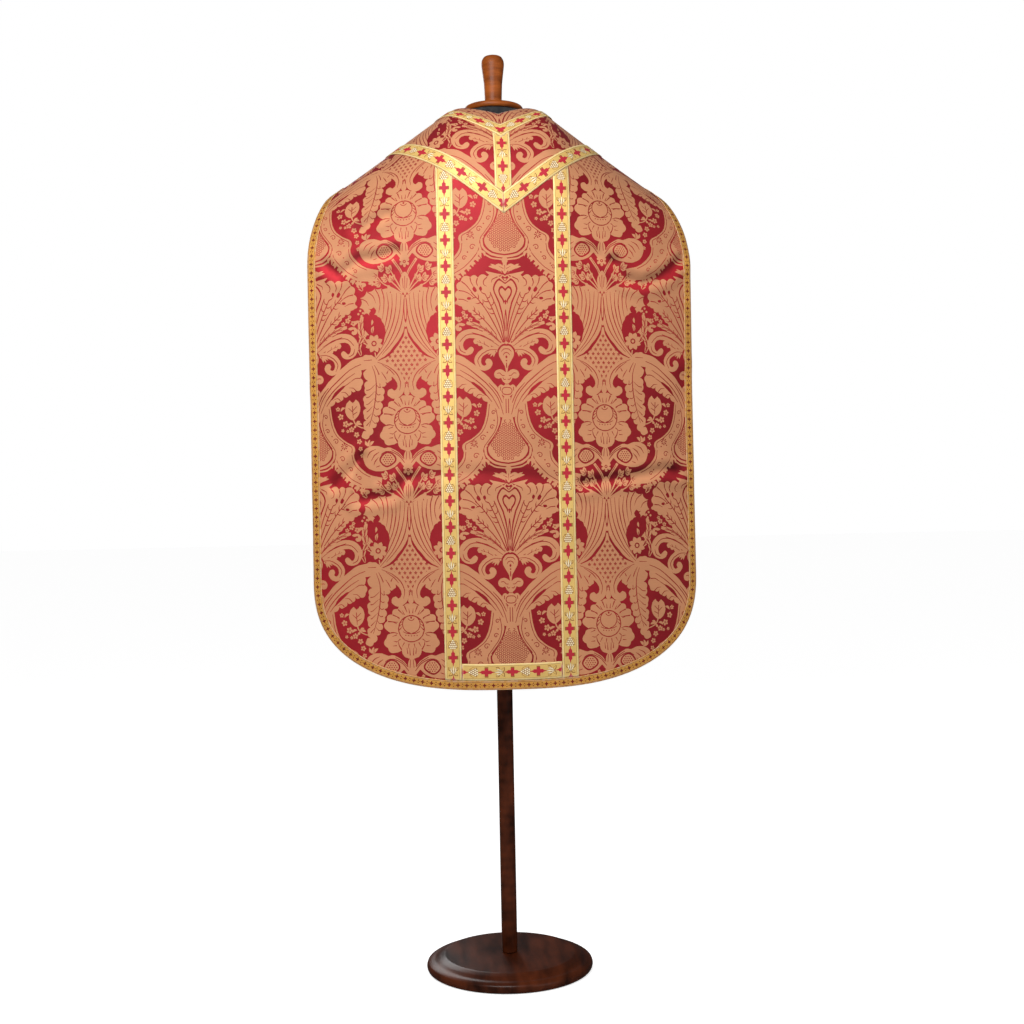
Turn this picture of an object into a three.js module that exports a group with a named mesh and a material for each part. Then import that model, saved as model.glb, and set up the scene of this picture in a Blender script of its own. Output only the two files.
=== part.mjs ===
// A Roman chasuble on a limbless dress form, in millimetres, +Z up.
// The front faces -Y, and the origin is the centre of the base's underside.
//
// Each panel is a flat piece of cloth, and s (across) and q (up) are places on that flat piece.
// drape() lays such a place on the shoulders: straight down below, rolled over the ridge above.
import * as THREE from 'three';

// ---- how the cloth lies ----
const FRONT_REACH = 177;
const BACK_SHARE = 0.72;
const SIDE_SAG = 76.5;
const SAG_AT = 360;
const SLOPE = THREE.MathUtils.degToRad(42.5);
const RIDGE_TOP = 1750;
const RIDGE_FLAT = 120;
const RIDGE_POWER = 5;

// ---- the flat outline of a panel ----
const HALF_WIDTH = 368;
const TAPER_START = 300;
const TAPER_SHARE = 0.17;
const TAPER_LOW = 1340;
const TAPER_HIGH = 1480;
const HEM_LOW = 557;
const CORNER_WIDE = 340;
const CORNER_TALL = 199;
const CORNER_POWER = 2.45;
const NECK_HALF = 95;
const NECK_SIDE = 1744;
const NECK_V = 1640;
const NECK_V_RISE = 0.83;
const NECK_V_POWER = 6;
const BACK_NECK = 1640;
const BACK_NECK_POWER = 2.5;
const CLOTH = 2.2;
const SEAM = 0.3;

// ---- the galloons ----
const WIDE = 30;
const NECK_WIDE = 25;
const EDGE_WIDE = 16;
const EDGE_INSET = 0.4;
const COLUMN_AT = 106.5;
const V_LOW = 1416;
const NECK_V_LOW = 1565;
const V_ANGLE = THREE.MathUtils.degToRad(37);
const LAID = 0.7;
const BRAID = 0.9;

// ---- the dress form and its stand ----
const BASE_RADIUS = 160;
const BASE_TALL = 30;
const POLE_RADIUS = 15;
const TORSO_FOOT = 800;
const SHOULDER_DEEP = 47;
const CAP_RADIUS = 57;
const CAP_LOW = 1646;
const CAP_TALL = 11;
const FINIAL_TALL = 100;
const SEAT = 0.35;

const STEPS_ROUND = 24;
const damask = new THREE.MeshStandardMaterial({ color: 0xb04a48, roughness: 0.5, metalness: 0 });
const galloon = new THREE.MeshStandardMaterial({ color: 0xd9bd74, roughness: 0.55, metalness: 0.1 });
const edging = new THREE.MeshStandardMaterial({ color: 0xc0883e, roughness: 0.55, metalness: 0.1 });
const jersey = new THREE.MeshStandardMaterial({ color: 0x17161a, roughness: 0.9, metalness: 0 });
const warmWood = new THREE.MeshStandardMaterial({ color: 0x96561f, roughness: 0.4, metalness: 0 });
const darkWood = new THREE.MeshStandardMaterial({ color: 0x3a2418, roughness: 0.35, metalness: 0 });

// The ridge is level round the neck and bends over to the slope of the shoulder.
function ridgeReach(s) {
  return (Math.abs(s) ** RIDGE_POWER + RIDGE_FLAT ** RIDGE_POWER) ** (1 / RIDGE_POWER);
}

// Height of the shoulder ridge on the flat cloth.
function ridge(s) {
  return RIDGE_TOP - (ridgeReach(s) - RIDGE_FLAT) * Math.tan(SLOPE);
}

// How far the ridge leans from level, and the cloth's roll with it.
function lean(s) {
  return Math.sign(s) * Math.atan(Math.tan(SLOPE) * (Math.abs(s) / ridgeReach(s)) ** (RIDGE_POWER - 1));
}

// Radius of the roll over the shoulder.
function roll(s) {
  return FRONT_REACH - SIDE_SAG * (s / SAG_AT) ** 2;
}

// side is -1 for the front and 1 for the back.
function drape(s, q, side) {
  const bow = (SIDE_SAG * s) / (SAG_AT * SAG_AT);
  const radius = roll(s);
  const below = (ridge(s) - q) * Math.cos(lean(s));
  const turn = Math.max(0, Math.PI / 2 - below / radius);
  const taken = radius * (turn - Math.sin(turn));
  const x = s * (1 - (2 / 3) * bow * bow) - Math.sin(lean(s)) * taken;
  const y = radius * Math.cos(turn) * (side < 0 ? -1 : BACK_SHARE);
  return new THREE.Vector3(x, y, q - Math.cos(lean(s)) * taken);
}

function outwardNormal(s, q, side) {
  const step = 0.5;
  const across = drape(s + step, q, side).sub(drape(s - step, q, side));
  const up = drape(s, q + step, side).sub(drape(s, q - step, side));
  return across.cross(up).multiplyScalar(-side).normalize();
}

// Along the shoulder seam the two panels are mitred, so both share one direction there.
function raised(s, q, side, height) {
  const away = outwardNormal(s, q, side);
  if (ridge(s) - q < 1) away.setY(0).normalize();
  return drape(s, q, side).addScaledVector(away, height);
}

// A closed sheet over a grid of flat places, between two heights off the cloth's outer face.
function sheet(name, material, side, grid, low, high) {
  const columns = grid.length;
  const rows = grid[0].length;
  const [a, b, c] = [grid[0][0], grid[1][0], grid[0][1]];
  const turned = (b[0] - a[0]) * (c[1] - a[1]) - (b[1] - a[1]) * (c[0] - a[0]) < 0;
  const flip = turned !== side > 0;
  const places = [];
  for (const height of [high, low]) {
    for (const column of grid) {
      for (const [s, q] of column) {
        places.push(...raised(s, q, side, height).toArray());
      }
    }
  }
  const faces = [];
  const under = columns * rows;
  const at = (i, j) => i * rows + j;
  const quad = (p, r, t, u) => {
    faces.push(...(flip ? [p, t, r, p, u, t] : [p, r, t, p, t, u]));
  };
  for (let i = 0; i + 1 < columns; i += 1) {
    for (let j = 0; j + 1 < rows; j += 1) {
      quad(at(i, j), at(i + 1, j), at(i + 1, j + 1), at(i, j + 1));
      quad(under + at(i, j), under + at(i, j + 1), under + at(i + 1, j + 1), under + at(i + 1, j));
    }
  }
  const rim = [];
  for (let i = 0; i < columns; i += 1) rim.push(at(i, 0));
  for (let j = 1; j < rows; j += 1) rim.push(at(columns - 1, j));
  for (let i = columns - 2; i >= 0; i -= 1) rim.push(at(i, rows - 1));
  for (let j = rows - 2; j > 0; j -= 1) rim.push(at(0, j));
  rim.forEach((here, k) => {
    const next = rim[(k + 1) % rim.length];
    quad(here, under + here, under + next, next);
  });
  return solid(name, material, places, faces);
}

function solid(name, material, places, faces) {
  const geometry = new THREE.BufferGeometry();
  geometry.setAttribute('position', new THREE.Float32BufferAttribute(places, 3));
  geometry.setIndex(faces);
  geometry.computeVertexNormals();
  const mesh = new THREE.Mesh(geometry, material);
  mesh.name = name;
  return mesh;
}

function mix(a, b, t) {
  return [a[0] + (b[0] - a[0]) * t, a[1] + (b[1] - a[1]) * t];
}

// A strip between two edges given as lists of flat places of the same length.
function between(one, other, cells) {
  return one.map((place, i) => {
    const column = [];
    for (let j = 0; j <= cells; j += 1) column.push(mix(place, other[i], j / cells));
    return column;
  });
}

function along(a, b, cells) {
  const places = [];
  for (let i = 0; i <= cells; i += 1) places.push(mix(a, b, i / cells));
  return places;
}

const seamDrop = SEAM / 2 / Math.cos(SLOPE);

function shoulderEdge(s) {
  return ridge(s) - seamDrop;
}

// The sides narrow a little towards the shoulder.
function narrowed(s, q) {
  const rise = THREE.MathUtils.smoothstep(q, TAPER_LOW, TAPER_HIGH);
  const spare = Math.max(0, Math.abs(s) - TAPER_START);
  return Math.sign(s) * (Math.abs(s) - spare * TAPER_SHARE * rise);
}

function hem(s) {
  const reach = Math.min(1, Math.max(0, Math.abs(s) - (HALF_WIDTH - CORNER_WIDE)) / CORNER_WIDE);
  return HEM_LOW + CORNER_TALL * (1 - (1 - reach ** CORNER_POWER) ** (1 / CORNER_POWER));
}

function frontNeck(s) {
  const rest = NECK_SIDE - NECK_V - NECK_V_RISE * NECK_HALF;
  return NECK_V + NECK_V_RISE * Math.abs(s) + rest * (Math.abs(s) / NECK_HALF) ** NECK_V_POWER;
}

function backNeck(s) {
  return BACK_NECK + (NECK_SIDE - BACK_NECK) * (Math.abs(s) / NECK_HALF) ** BACK_NECK_POWER;
}

// ---- the two damask panels ----
const COLUMNS_HALF = [0, 15, 31, 47, 63, 79, NECK_HALF, 108, 121, 134, 147, 160, 173, 186, 200, 215,
  230, 260, TAPER_START, 326, 344, 356, 363.5, 367.2, HALF_WIDTH];
const ROWS_STRAIGHT = 3;
const ROWS_ROLLED = 15;

function panelTop(s, side) {
  if (Math.abs(s) < NECK_HALF) return side < 0 ? frontNeck(s) : backNeck(s);
  let top = shoulderEdge(s);
  for (let k = 0; k < 6; k += 1) top = shoulderEdge(narrowed(s, top));
  return top;
}

// Heights from low to high, with a few below the place where the cloth starts to roll.
function heights(s, low, high, straight, rolled) {
  const bend = ridge(s) - (roll(s) * Math.PI) / 2 / Math.cos(lean(s));
  const below = along([s, low], [s, bend], straight).slice(0, -1);
  return [...below, ...along([s, bend], [s, high], rolled)];
}

function panel(name, side) {
  const columns = [...COLUMNS_HALF.slice(1).reverse().map((s) => -s), ...COLUMNS_HALF];
  const grid = columns.map((s) => {
    const places = heights(s, hem(s), panelTop(s, side), ROWS_STRAIGHT, ROWS_ROLLED);
    return places.map(([, q]) => [narrowed(s, q), q]);
  });
  return sheet(name, damask, side, grid, -CLOTH, 0);
}

// ---- the galloons, laid on the panels ----
const vRise = Math.tan(V_ANGLE);
const vTall = WIDE / Math.cos(V_ANGLE);
const V_CELLS = 20;
const COLUMN_ROLLED = 6;
const NECK_CELLS = 18;
const STRIP_CELLS = 10;

function braid(name, material, side, grid) {
  return sheet(name, material, side, grid, LAID, LAID + BRAID);
}

// Where a line rising at the V's angle from the centre meets the shoulder.
function meetsShoulder(start) {
  let s = 200;
  for (let k = 0; k < 40; k += 1) s += (shoulderEdge(s) - (start + vRise * s)) / 2;
  return [s, shoulderEdge(s)];
}

function vArm(name, way) {
  const edge = (start) => {
    const from = [SEAM / 2, start + (vRise * SEAM) / 2];
    return along(from, meetsShoulder(start), V_CELLS).map(([s, q]) => [s * way, q]);
  };
  return braid(name, galloon, -1, between(edge(V_LOW), edge(V_LOW + vTall), 2));
}

function edgeTop(s) {
  return hem(s) + EDGE_INSET + EDGE_WIDE + 3 * SEAM;
}

function columnBraid(name, way) {
  const inner = COLUMN_AT - WIDE / 2;
  const outer = COLUMN_AT + WIDE / 2;
  const run = (s) => heights(s * way, edgeTop(s), V_LOW + vRise * s - 1.5 * SEAM, 4, COLUMN_ROLLED);
  return braid(name, galloon, -1, between(run(inner), run(outer), 2));
}

function bottomBraid() {
  const reach = COLUMN_AT - WIDE / 2 - SEAM;
  const low = along([-reach, 0], [reach, 0], 12).map(([s]) => [s, edgeTop(s)]);
  return braid('bottom_galloon', galloon, -1, between(low, low.map(([s, q]) => [s, q + WIDE]), 2));
}

function centreStrip() {
  const across = [-WIDE / 2, 0, WIDE / 2];
  const grid = across.map((s) => {
    const rise = vRise * Math.abs(s);
    return along([s, V_LOW + vTall + 1.5 * SEAM + rise], [s, NECK_V_LOW - 1.5 * SEAM + rise], STRIP_CELLS);
  });
  return braid('centre_galloon', galloon, -1, grid);
}

// The neck galloon is a smaller V, from shoulder seam to shoulder seam.
function neckBraid(name, side) {
  const edge = (start) => {
    const right = along([0, start], meetsShoulder(start), NECK_CELLS);
    return [...right.slice(1).reverse().map(([s, q]) => [-s, q]), ...right];
  };
  const tall = NECK_WIDE / Math.cos(V_ANGLE);
  return braid(name, galloon, side, between(edge(NECK_V_LOW), edge(NECK_V_LOW + tall), 2));
}

// The outline from one shoulder end round the hem to the other, moved in by a distance.
function outline(inset) {
  const half = [];
  const cornerFoot = HEM_LOW + CORNER_TALL;
  const top = panelTop(HALF_WIDTH, -1);
  for (const [s, q] of heights(HALF_WIDTH, cornerFoot, top, 3, 14).reverse()) {
    half.push([narrowed(s, q), q]);
  }
  for (let k = 1; k <= 14; k += 1) {
    const angle = (k / 14) * (Math.PI / 2);
    const wide = Math.cos(angle) ** (2 / CORNER_POWER);
    const tall = Math.sin(angle) ** (2 / CORNER_POWER);
    half.push([HALF_WIDTH - CORNER_WIDE * (1 - wide), cornerFoot - CORNER_TALL * tall]);
  }
  const whole = [...half, ...half.map(([s, q]) => [-s, q]).reverse()];
  return whole.map(([s, q], i) => {
    const before = whole[Math.max(0, i - 1)];
    const after = whole[Math.min(whole.length - 1, i + 1)];
    const long = Math.hypot(after[0] - before[0], after[1] - before[1]);
    const inS = (after[1] - before[1]) / long;
    const inQ = -(after[0] - before[0]) / long;
    const moved = [s + inS * inset, q + inQ * inset];
    const atShoulder = i === 0 || i === whole.length - 1;
    return atShoulder ? [moved[0], shoulderEdge(moved[0])] : moved;
  });
}

function edgeBraid(name, side) {
  const grid = between(outline(EDGE_INSET), outline(EDGE_INSET + EDGE_WIDE), 1);
  return braid(name, edging, side, grid);
}

// ---- the dress form ----
// Each level is height, half width and half depth.
const shoulderLevels = [260, 230, 200].map((s) => {
  const below = raised(s, ridge(s), -1, -CLOTH - SEAT);
  return [below.z, below.x, SHOULDER_DEEP];
});
const TORSO_LEVELS = [
  [TORSO_FOOT, 128, 84],
  [TORSO_FOOT + 5, 143, 96],
  [TORSO_FOOT + 18, 155, 106],
  [870, 166, 114],
  [950, 170, 117],
  [1040, 158, 110],
  [1130, 134, 98],
  [1200, 132, 97],
  [1280, 148, 104],
  [1360, 166, 109],
  [1430, 178, 107],
  [1470, 185, 98],
  [1500, 190, 87],
  [1525, 195, 73],
  [1545, 200, 58],
  ...shoulderLevels,
  [1618, 103, 48],
  [1626, 80, 48],
  [1634, 65, 49],
  [CAP_LOW - SEAM, 55, 50],
];

function torso() {
  const places = [];
  const faces = [];
  for (const [z, wide, deep] of TORSO_LEVELS) {
    for (let k = 0; k < STEPS_ROUND; k += 1) {
      const angle = (2 * Math.PI * k) / STEPS_ROUND;
      places.push(wide * Math.cos(angle), deep * Math.sin(angle), z);
    }
  }
  const last = TORSO_LEVELS.length - 1;
  for (let level = 0; level < last; level += 1) {
    for (let k = 0; k < STEPS_ROUND; k += 1) {
      const here = level * STEPS_ROUND + k;
      const next = level * STEPS_ROUND + ((k + 1) % STEPS_ROUND);
      faces.push(here, next, next + STEPS_ROUND, here, next + STEPS_ROUND, here + STEPS_ROUND);
    }
  }
  for (let k = 1; k + 1 < STEPS_ROUND; k += 1) {
    const top = last * STEPS_ROUND;
    faces.push(0, k + 1, k, top, top + k, top + k + 1);
  }
  return solid('form_torso', jersey, places, faces);
}

function turned(name, material, profile, steps) {
  const points = profile.map(([radius, z]) => new THREE.Vector2(radius, z));
  const geometry = new THREE.LatheGeometry(points, steps);
  geometry.rotateX(Math.PI / 2);
  const mesh = new THREE.Mesh(geometry, material);
  mesh.name = name;
  return mesh;
}

const poleFoot = BASE_TALL + SEAM;
const capTop = CAP_LOW + CAP_TALL;
const finialFoot = capTop + SEAM;
const model = new THREE.Group();
model.add(
  turned('stand_base', darkWood, [
    [0, 0],
    [BASE_RADIUS - 7, 0],
    [BASE_RADIUS - 2, 3],
    [BASE_RADIUS, 9],
    [BASE_RADIUS - 2, 16],
    [BASE_RADIUS - 9, 20],
    [BASE_RADIUS - 16, 21],
    [BASE_RADIUS - 24, 26],
    [BASE_RADIUS - 34, BASE_TALL],
    [0, BASE_TALL],
  ], 40),
  turned('stand_pole', darkWood, [
    [0, poleFoot],
    [POLE_RADIUS, poleFoot],
    [POLE_RADIUS, TORSO_FOOT - SEAM],
    [0, TORSO_FOOT - SEAM],
  ], 16),
  torso(),
  turned('neck_cap', warmWood, [
    [0, CAP_LOW],
    [CAP_RADIUS - 3, CAP_LOW],
    [CAP_RADIUS - 0.6, CAP_LOW + 2.5],
    [CAP_RADIUS, CAP_LOW + CAP_TALL / 2],
    [CAP_RADIUS - 0.6, capTop - 2.5],
    [CAP_RADIUS - 3, capTop],
    [0, capTop],
  ], 32),
  turned('neck_finial', warmWood, [
    [0, finialFoot],
    [16, finialFoot],
    [16.5, finialFoot + 20],
    [17.5, finialFoot + 45],
    [20.5, finialFoot + 70],
    [22, finialFoot + 82],
    [21.2, finialFoot + 90],
    [17, finialFoot + 97],
    [9, finialFoot + FINIAL_TALL - 0.5],
    [0, finialFoot + FINIAL_TALL],
  ], 20),
  panel('front_panel', -1),
  panel('back_panel', 1),
  vArm('v_galloon_left', -1),
  vArm('v_galloon_right', 1),
  centreStrip(),
  columnBraid('column_galloon_left', -1),
  columnBraid('column_galloon_right', 1),
  bottomBraid(),
  neckBraid('neck_galloon_front', -1),
  neckBraid('neck_galloon_back', 1),
  edgeBraid('edge_galloon_front', -1),
  edgeBraid('edge_galloon_back', 1),
);

export default model;
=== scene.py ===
import math

import bmesh
import bpy
import numpy as np
from bpy.props import FloatProperty, FloatVectorProperty, PointerProperty
from mathutils import Matrix, Vector
from mathutils.geometry import delaunay_2d_cdt


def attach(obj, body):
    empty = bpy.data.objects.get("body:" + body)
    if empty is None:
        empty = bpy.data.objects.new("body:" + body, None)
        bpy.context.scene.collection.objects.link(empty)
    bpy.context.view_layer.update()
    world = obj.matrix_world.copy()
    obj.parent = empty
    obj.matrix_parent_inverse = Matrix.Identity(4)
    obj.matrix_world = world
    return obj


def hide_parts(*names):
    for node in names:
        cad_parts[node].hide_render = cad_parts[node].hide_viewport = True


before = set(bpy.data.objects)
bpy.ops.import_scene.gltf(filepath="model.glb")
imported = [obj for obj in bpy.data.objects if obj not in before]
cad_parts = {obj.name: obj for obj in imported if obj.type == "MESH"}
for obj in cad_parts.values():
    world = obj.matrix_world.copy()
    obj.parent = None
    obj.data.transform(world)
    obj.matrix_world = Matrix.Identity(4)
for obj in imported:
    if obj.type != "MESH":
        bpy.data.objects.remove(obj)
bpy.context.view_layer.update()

bl_info = {
    "name": "Roman Chasuble on a Dress Form",
    "version": (1, 0, 0),
    "blender": (4, 5, 0),
    "location": "View3D > Sidebar > Chasuble",
    "description": "Builds a damask chasuble with figured galloons, its dress form and stand",
    "category": "Object",
}

MM = 0.001

# Spacing of a sheet's net, on the outer face and on the inner one.
PANEL_NET = (9.0, 14.0)
GALLOON_NET = (4.0, 6.0)

# How the cloth lies. Across is s and up is q on the flat cloth, in millimetres.
FRONT, BACK = -1, 1
FRONT_REACH = 177.0
BACK_SHARE = 0.72
SIDE_SAG = 76.5
SAG_AT = 360.0
SLOPE = math.radians(42.5)
RIDGE_TOP = 1750.0
RIDGE_FLAT = 120.0
RIDGE_POWER = 5

# The flat outline of a panel.
HALF_WIDTH = 368.0
TAPER_START = 300.0
TAPER_SHARE = 0.17
TAPER_LOW = 1340.0
TAPER_HIGH = 1480.0
HEM_LOW = 557.0
CORNER_WIDE = 340.0
CORNER_TALL = 199.0
CORNER_POWER = 2.45
NECK_HALF = 95.0
NECK_SIDE = 1744.0
NECK_V = 1640.0
NECK_V_RISE = 0.83
NECK_V_POWER = 6
BACK_NECK = 1640.0
BACK_NECK_POWER = 2.5
CLOTH = 2.2
SEAM = 0.3

# The galloons.
WIDE = 30.0
NECK_WIDE = 25.0
EDGE_WIDE = 16.0
EDGE_INSET = 0.4
COLUMN_AT = 106.5
V_LOW = 1416.0
NECK_V_LOW = 1565.0
V_ANGLE = math.radians(37)
V_RISE = math.tan(V_ANGLE)
V_TALL = WIDE / math.cos(V_ANGLE)
LAID = 0.7
BRAID = 0.9

# The dress form and its stand.
BASE_RADIUS = 160.0
BASE_TALL = 30.0
POLE_RADIUS = 15.0
TORSO_FOOT = 800.0
SHOULDER_DEEP = 47.0
CAP_RADIUS = 57.0
CAP_LOW = 1646.0
CAP_TALL = 11.0
FINIAL_TALL = 100.0
SEAT = 0.35

# The damask repeat: half of it, from the palmette's axis to the flower's, is charted and mirrored.
HALF_REPEAT = 181.4
FLOWER_ROW = 1422.0
CHART_WIDE = 490.0
CHART_TALL = 1016.0


# ---------------------------------------------------------------- settings

def linear(r, g, b):
    """A screen colour out of 255 as a linear one."""
    return tuple((c / 255 / 12.92 if c <= 10 else ((c / 255 + 0.055) / 1.055) ** 2.4)
                 for c in (r, g, b)) + (1.0,)


def tint(name, description, r, g, b):
    """A colour that a user can change."""
    return FloatVectorProperty(name=name, description=description, default=linear(r, g, b), size=4,
                               subtype="COLOR", min=0, max=1)


class ChasubleSettings(bpy.types.PropertyGroup):
    """Sizes and colours of the chasuble and its stand."""

    crease: FloatProperty(name="Crease Depth", description="How deep the creases are, as a share",
                          default=1.0, min=0, max=2, subtype="FACTOR")
    thread: FloatProperty(name="Thread Pitch", description="Distance between two threads of the damask",
                          default=0.00045, min=0.0002, max=0.003, precision=5, unit="LENGTH")
    repeat: FloatProperty(name="Repeat Height", description="Height of one repeat of the damask's figure",
                          default=0.376, min=0.2, max=0.8, precision=4, unit="LENGTH")
    ground: tint("Damask Ground", "Colour of the damask's satin ground", 161, 34, 42)
    figure: tint("Damask Figure", "Colour of the damask's woven figure", 203, 139, 99)
    lining: tint("Lining", "Colour of the cloth's inner face", 150, 44, 58)
    galloon: tint("Galloon Gold", "Colour of the wide galloons", 240, 200, 118)
    galloon_edge: tint("Galloon Edge", "Colour of the wide galloons' plain edges", 252, 220, 142)
    galloon_red: tint("Galloon Red", "Colour of the galloons' crosses", 190, 44, 58)
    galloon_brown: tint("Galloon Brown", "Colour of the galloons' outlines", 158, 100, 50)
    galloon_white: tint("Galloon White", "Colour of the galloons' grapes and ears", 250, 236, 196)
    edging: tint("Edging Gold", "Colour of the narrow galloon round the edge", 216, 156, 72)
    edging_red: tint("Edging Red", "Colour of the narrow galloon's crosses", 118, 30, 26)
    jersey: tint("Jersey", "Colour of the dress form's cover", 22, 22, 27)
    base_pale: tint("Base Wood, Pale", "Pale grain of the base and pole", 104, 46, 18)
    base_dark: tint("Base Wood, Dark", "Dark grain of the base and pole", 38, 15, 7)
    cap_pale: tint("Cap Wood, Pale", "Pale grain of the neck cap and finial", 172, 88, 26)
    cap_dark: tint("Cap Wood, Dark", "Dark grain of the neck cap and finial", 112, 52, 12)
    floor: tint("Floor", "Colour of the studio floor", 250, 250, 250)
    key: FloatProperty(name="Key Light", description="Power of the studio's key light", default=22.5, min=0,
                       max=500,
                       unit="POWER")


def chosen():
    """The settings in use."""
    return bpy.context.scene.chasuble


# ---------------------------------------------------------------- the lie of the cloth

def ridge_reach(s):
    """The ridge is level round the neck and bends over to the slope of the shoulder."""
    return (np.abs(s) ** RIDGE_POWER + RIDGE_FLAT ** RIDGE_POWER) ** (1 / RIDGE_POWER)


def ridge(s):
    """Height of the shoulder ridge on the flat cloth."""
    return RIDGE_TOP - (ridge_reach(s) - RIDGE_FLAT) * math.tan(SLOPE)


def lean(s):
    """How far the ridge leans from level, and the cloth's roll with it."""
    steep = math.tan(SLOPE) * (np.abs(s) / ridge_reach(s)) ** (RIDGE_POWER - 1)
    return np.sign(s) * np.arctan(steep)


def roll(s):
    """Radius of the roll over the shoulder."""
    return FRONT_REACH - SIDE_SAG * (s / SAG_AT) ** 2


def drape(s, q, side):
    """Places of the cloth's outer face on the form, in millimetres."""
    bow = SIDE_SAG * s / SAG_AT ** 2
    radius = roll(s)
    tilt = lean(s)
    below = (ridge(s) - q) * np.cos(tilt)
    turn = np.maximum(0, math.pi / 2 - below / radius)
    taken = radius * (turn - np.sin(turn))
    x = s * (1 - bow * bow * 2 / 3) - np.sin(tilt) * taken
    y = radius * np.cos(turn) * (-1 if side == FRONT else BACK_SHARE)
    return np.stack([x, y, q - np.cos(tilt) * taken], axis=-1)


def outward(s, q, side):
    """Directions away from the cloth, mitred along the shoulder seam."""
    step = 0.5
    seam_reach = 6
    across = drape(s + step, q, side) - drape(s - step, q, side)
    up = drape(s, q + step, side) - drape(s, q - step, side)
    away = np.cross(across, up) * -side
    away[..., 1] *= np.clip((ridge(s) - q) / seam_reach, 0, 1)
    return away / np.linalg.norm(away, axis=-1, keepdims=True)


# Each crease is a run of flat places, its depth and its half width.
FRONT_CREASES = (
    (((-330, 1334), (-306, 1316), (-268, 1342), (-238, 1342), (-200, 1352)), 2.7, 9),
    (((-272, 1398), (-246, 1412), (-214, 1424)), 2.1, 9),
    (((206, 1332), (226, 1302), (264, 1296), (292, 1304), (316, 1316), (344, 1340)), 3.0, 9),
    (((150, 1352), (206, 1332)), 1.2, 10),
    (((-322, 932), (-268, 980), (-278, 904), (-216, 910), (-182, 942)), 2.5, 9),
    (((-182, 942), (-90, 950), (20, 944), (140, 926)), 0.9, 10),
    (((140, 926), (196, 934), (232, 936), (300, 950), (330, 944)), 2.5, 9),
    (((-352, 1080), (-330, 930)), 1.5, 15),
    (((352, 1120), (336, 960)), 1.5, 15),
)
BACK_CREASES = (
    (((-330, 1310), (-262, 1326), (-150, 1318), (-40, 1330)), 2.3, 10),
    (((60, 1322), (180, 1334), (322, 1312)), 2.5, 10),
    (((-326, 926), (-240, 944), (-120, 930), (30, 940), (170, 928), (318, 942)), 2.1, 10),
    (((0, 1500), (4, 1200), (-3, 880), (2, 640)), 1.2, 11),
)


def away_from_run(s, q, run):
    """Distance of every place to a run of straight pieces."""
    nearest = np.full(s.shape, 1e9)
    for (s0, q0), (s1, q1) in zip(run, run[1:]):
        ds, dq = s1 - s0, q1 - q0
        part = np.clip(((s - s0) * ds + (q - q0) * dq) / (ds * ds + dq * dq), 0, 1)
        nearest = np.minimum(nearest, np.hypot(s - s0 - part * ds, q - q0 - part * dq))
    return nearest


# The cloth's slow waves, and where they and the creases calm down below the ridge.
SWELL = 1.3
RIPPLE = 0.5
BANK_SHARE = 0.45
BANK_AT = 2.2
CALM_TO = 30
CALM_OVER = 160


def relief(s, q, side):
    """Soft troughs and ridges of the cloth, in millimetres. A crease has a low bank on its outer sides."""
    height = SWELL * np.sin(s / 61 + q / 240) * np.sin(q / 133 + 1.0)
    height += RIPPLE * np.sin(s / 27 - q / 150 + 0.6 * side)
    for run, deep, wide in FRONT_CREASES if side == FRONT else BACK_CREASES:
        far = away_from_run(s, q, run) / wide
        trough = np.exp(-far ** 2) - BANK_SHARE * np.exp(-(far - BANK_AT) ** 2)
        height -= deep * chosen().crease * trough
    calm = np.clip((ridge(s) - q - CALM_TO) / CALM_OVER, 0, 1)
    return height * calm


def lay(s, q, side, height):
    """Places on the draped cloth, raised off its outer face, in metres."""
    s, q = np.asarray(s, float), np.asarray(q, float)
    lifted = (height + relief(s, q, side))[..., None]
    return (drape(s, q, side) + outward(s, q, side) * lifted) * MM


def shoulder_edge(s):
    return ridge(s) - SEAM / 2 / math.cos(SLOPE)


def narrowed(s, q):
    """The sides narrow a little towards the shoulder."""
    part = min(1, max(0, (q - TAPER_LOW) / (TAPER_HIGH - TAPER_LOW)))
    spare = max(0, abs(s) - TAPER_START)
    return math.copysign(abs(s) - spare * TAPER_SHARE * part * part * (3 - 2 * part), s)


def hem(s):
    reach = min(1, max(0, abs(s) - (HALF_WIDTH - CORNER_WIDE)) / CORNER_WIDE)
    return HEM_LOW + CORNER_TALL * (1 - (1 - reach ** CORNER_POWER) ** (1 / CORNER_POWER))


def front_neck(s):
    rest = NECK_SIDE - NECK_V - NECK_V_RISE * NECK_HALF
    return NECK_V + NECK_V_RISE * abs(s) + rest * (abs(s) / NECK_HALF) ** NECK_V_POWER


def back_neck(s):
    return BACK_NECK + (NECK_SIDE - BACK_NECK) * (abs(s) / NECK_HALF) ** BACK_NECK_POWER


def along(a, b, cells):
    """Evenly spaced places from a to b, both ends included."""
    return [(a[0] + (b[0] - a[0]) * k / cells, a[1] + (b[1] - a[1]) * k / cells) for k in range(cells + 1)]


def shoulder_end():
    """Height of the shoulder seam at a panel's outer corner."""
    top = float(shoulder_edge(HALF_WIDTH))
    for _ in range(6):
        top = float(shoulder_edge(narrowed(HALF_WIDTH, top)))
    return top


def right_outline(cells):
    """The right half of a panel's edge, from the shoulder end down to the hem's middle."""
    foot = HEM_LOW + CORNER_TALL
    run = [(narrowed(HALF_WIDTH, q), q) for _, q in along((0, shoulder_end()), (0, foot), cells)]
    for k in range(1, cells + 1):
        angle = k / cells * math.pi / 2
        wide = math.cos(angle) ** (2 / CORNER_POWER)
        tall = math.sin(angle) ** (2 / CORNER_POWER)
        run.append((HALF_WIDTH - CORNER_WIDE * (1 - wide), foot - CORNER_TALL * tall))
    return run


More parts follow.
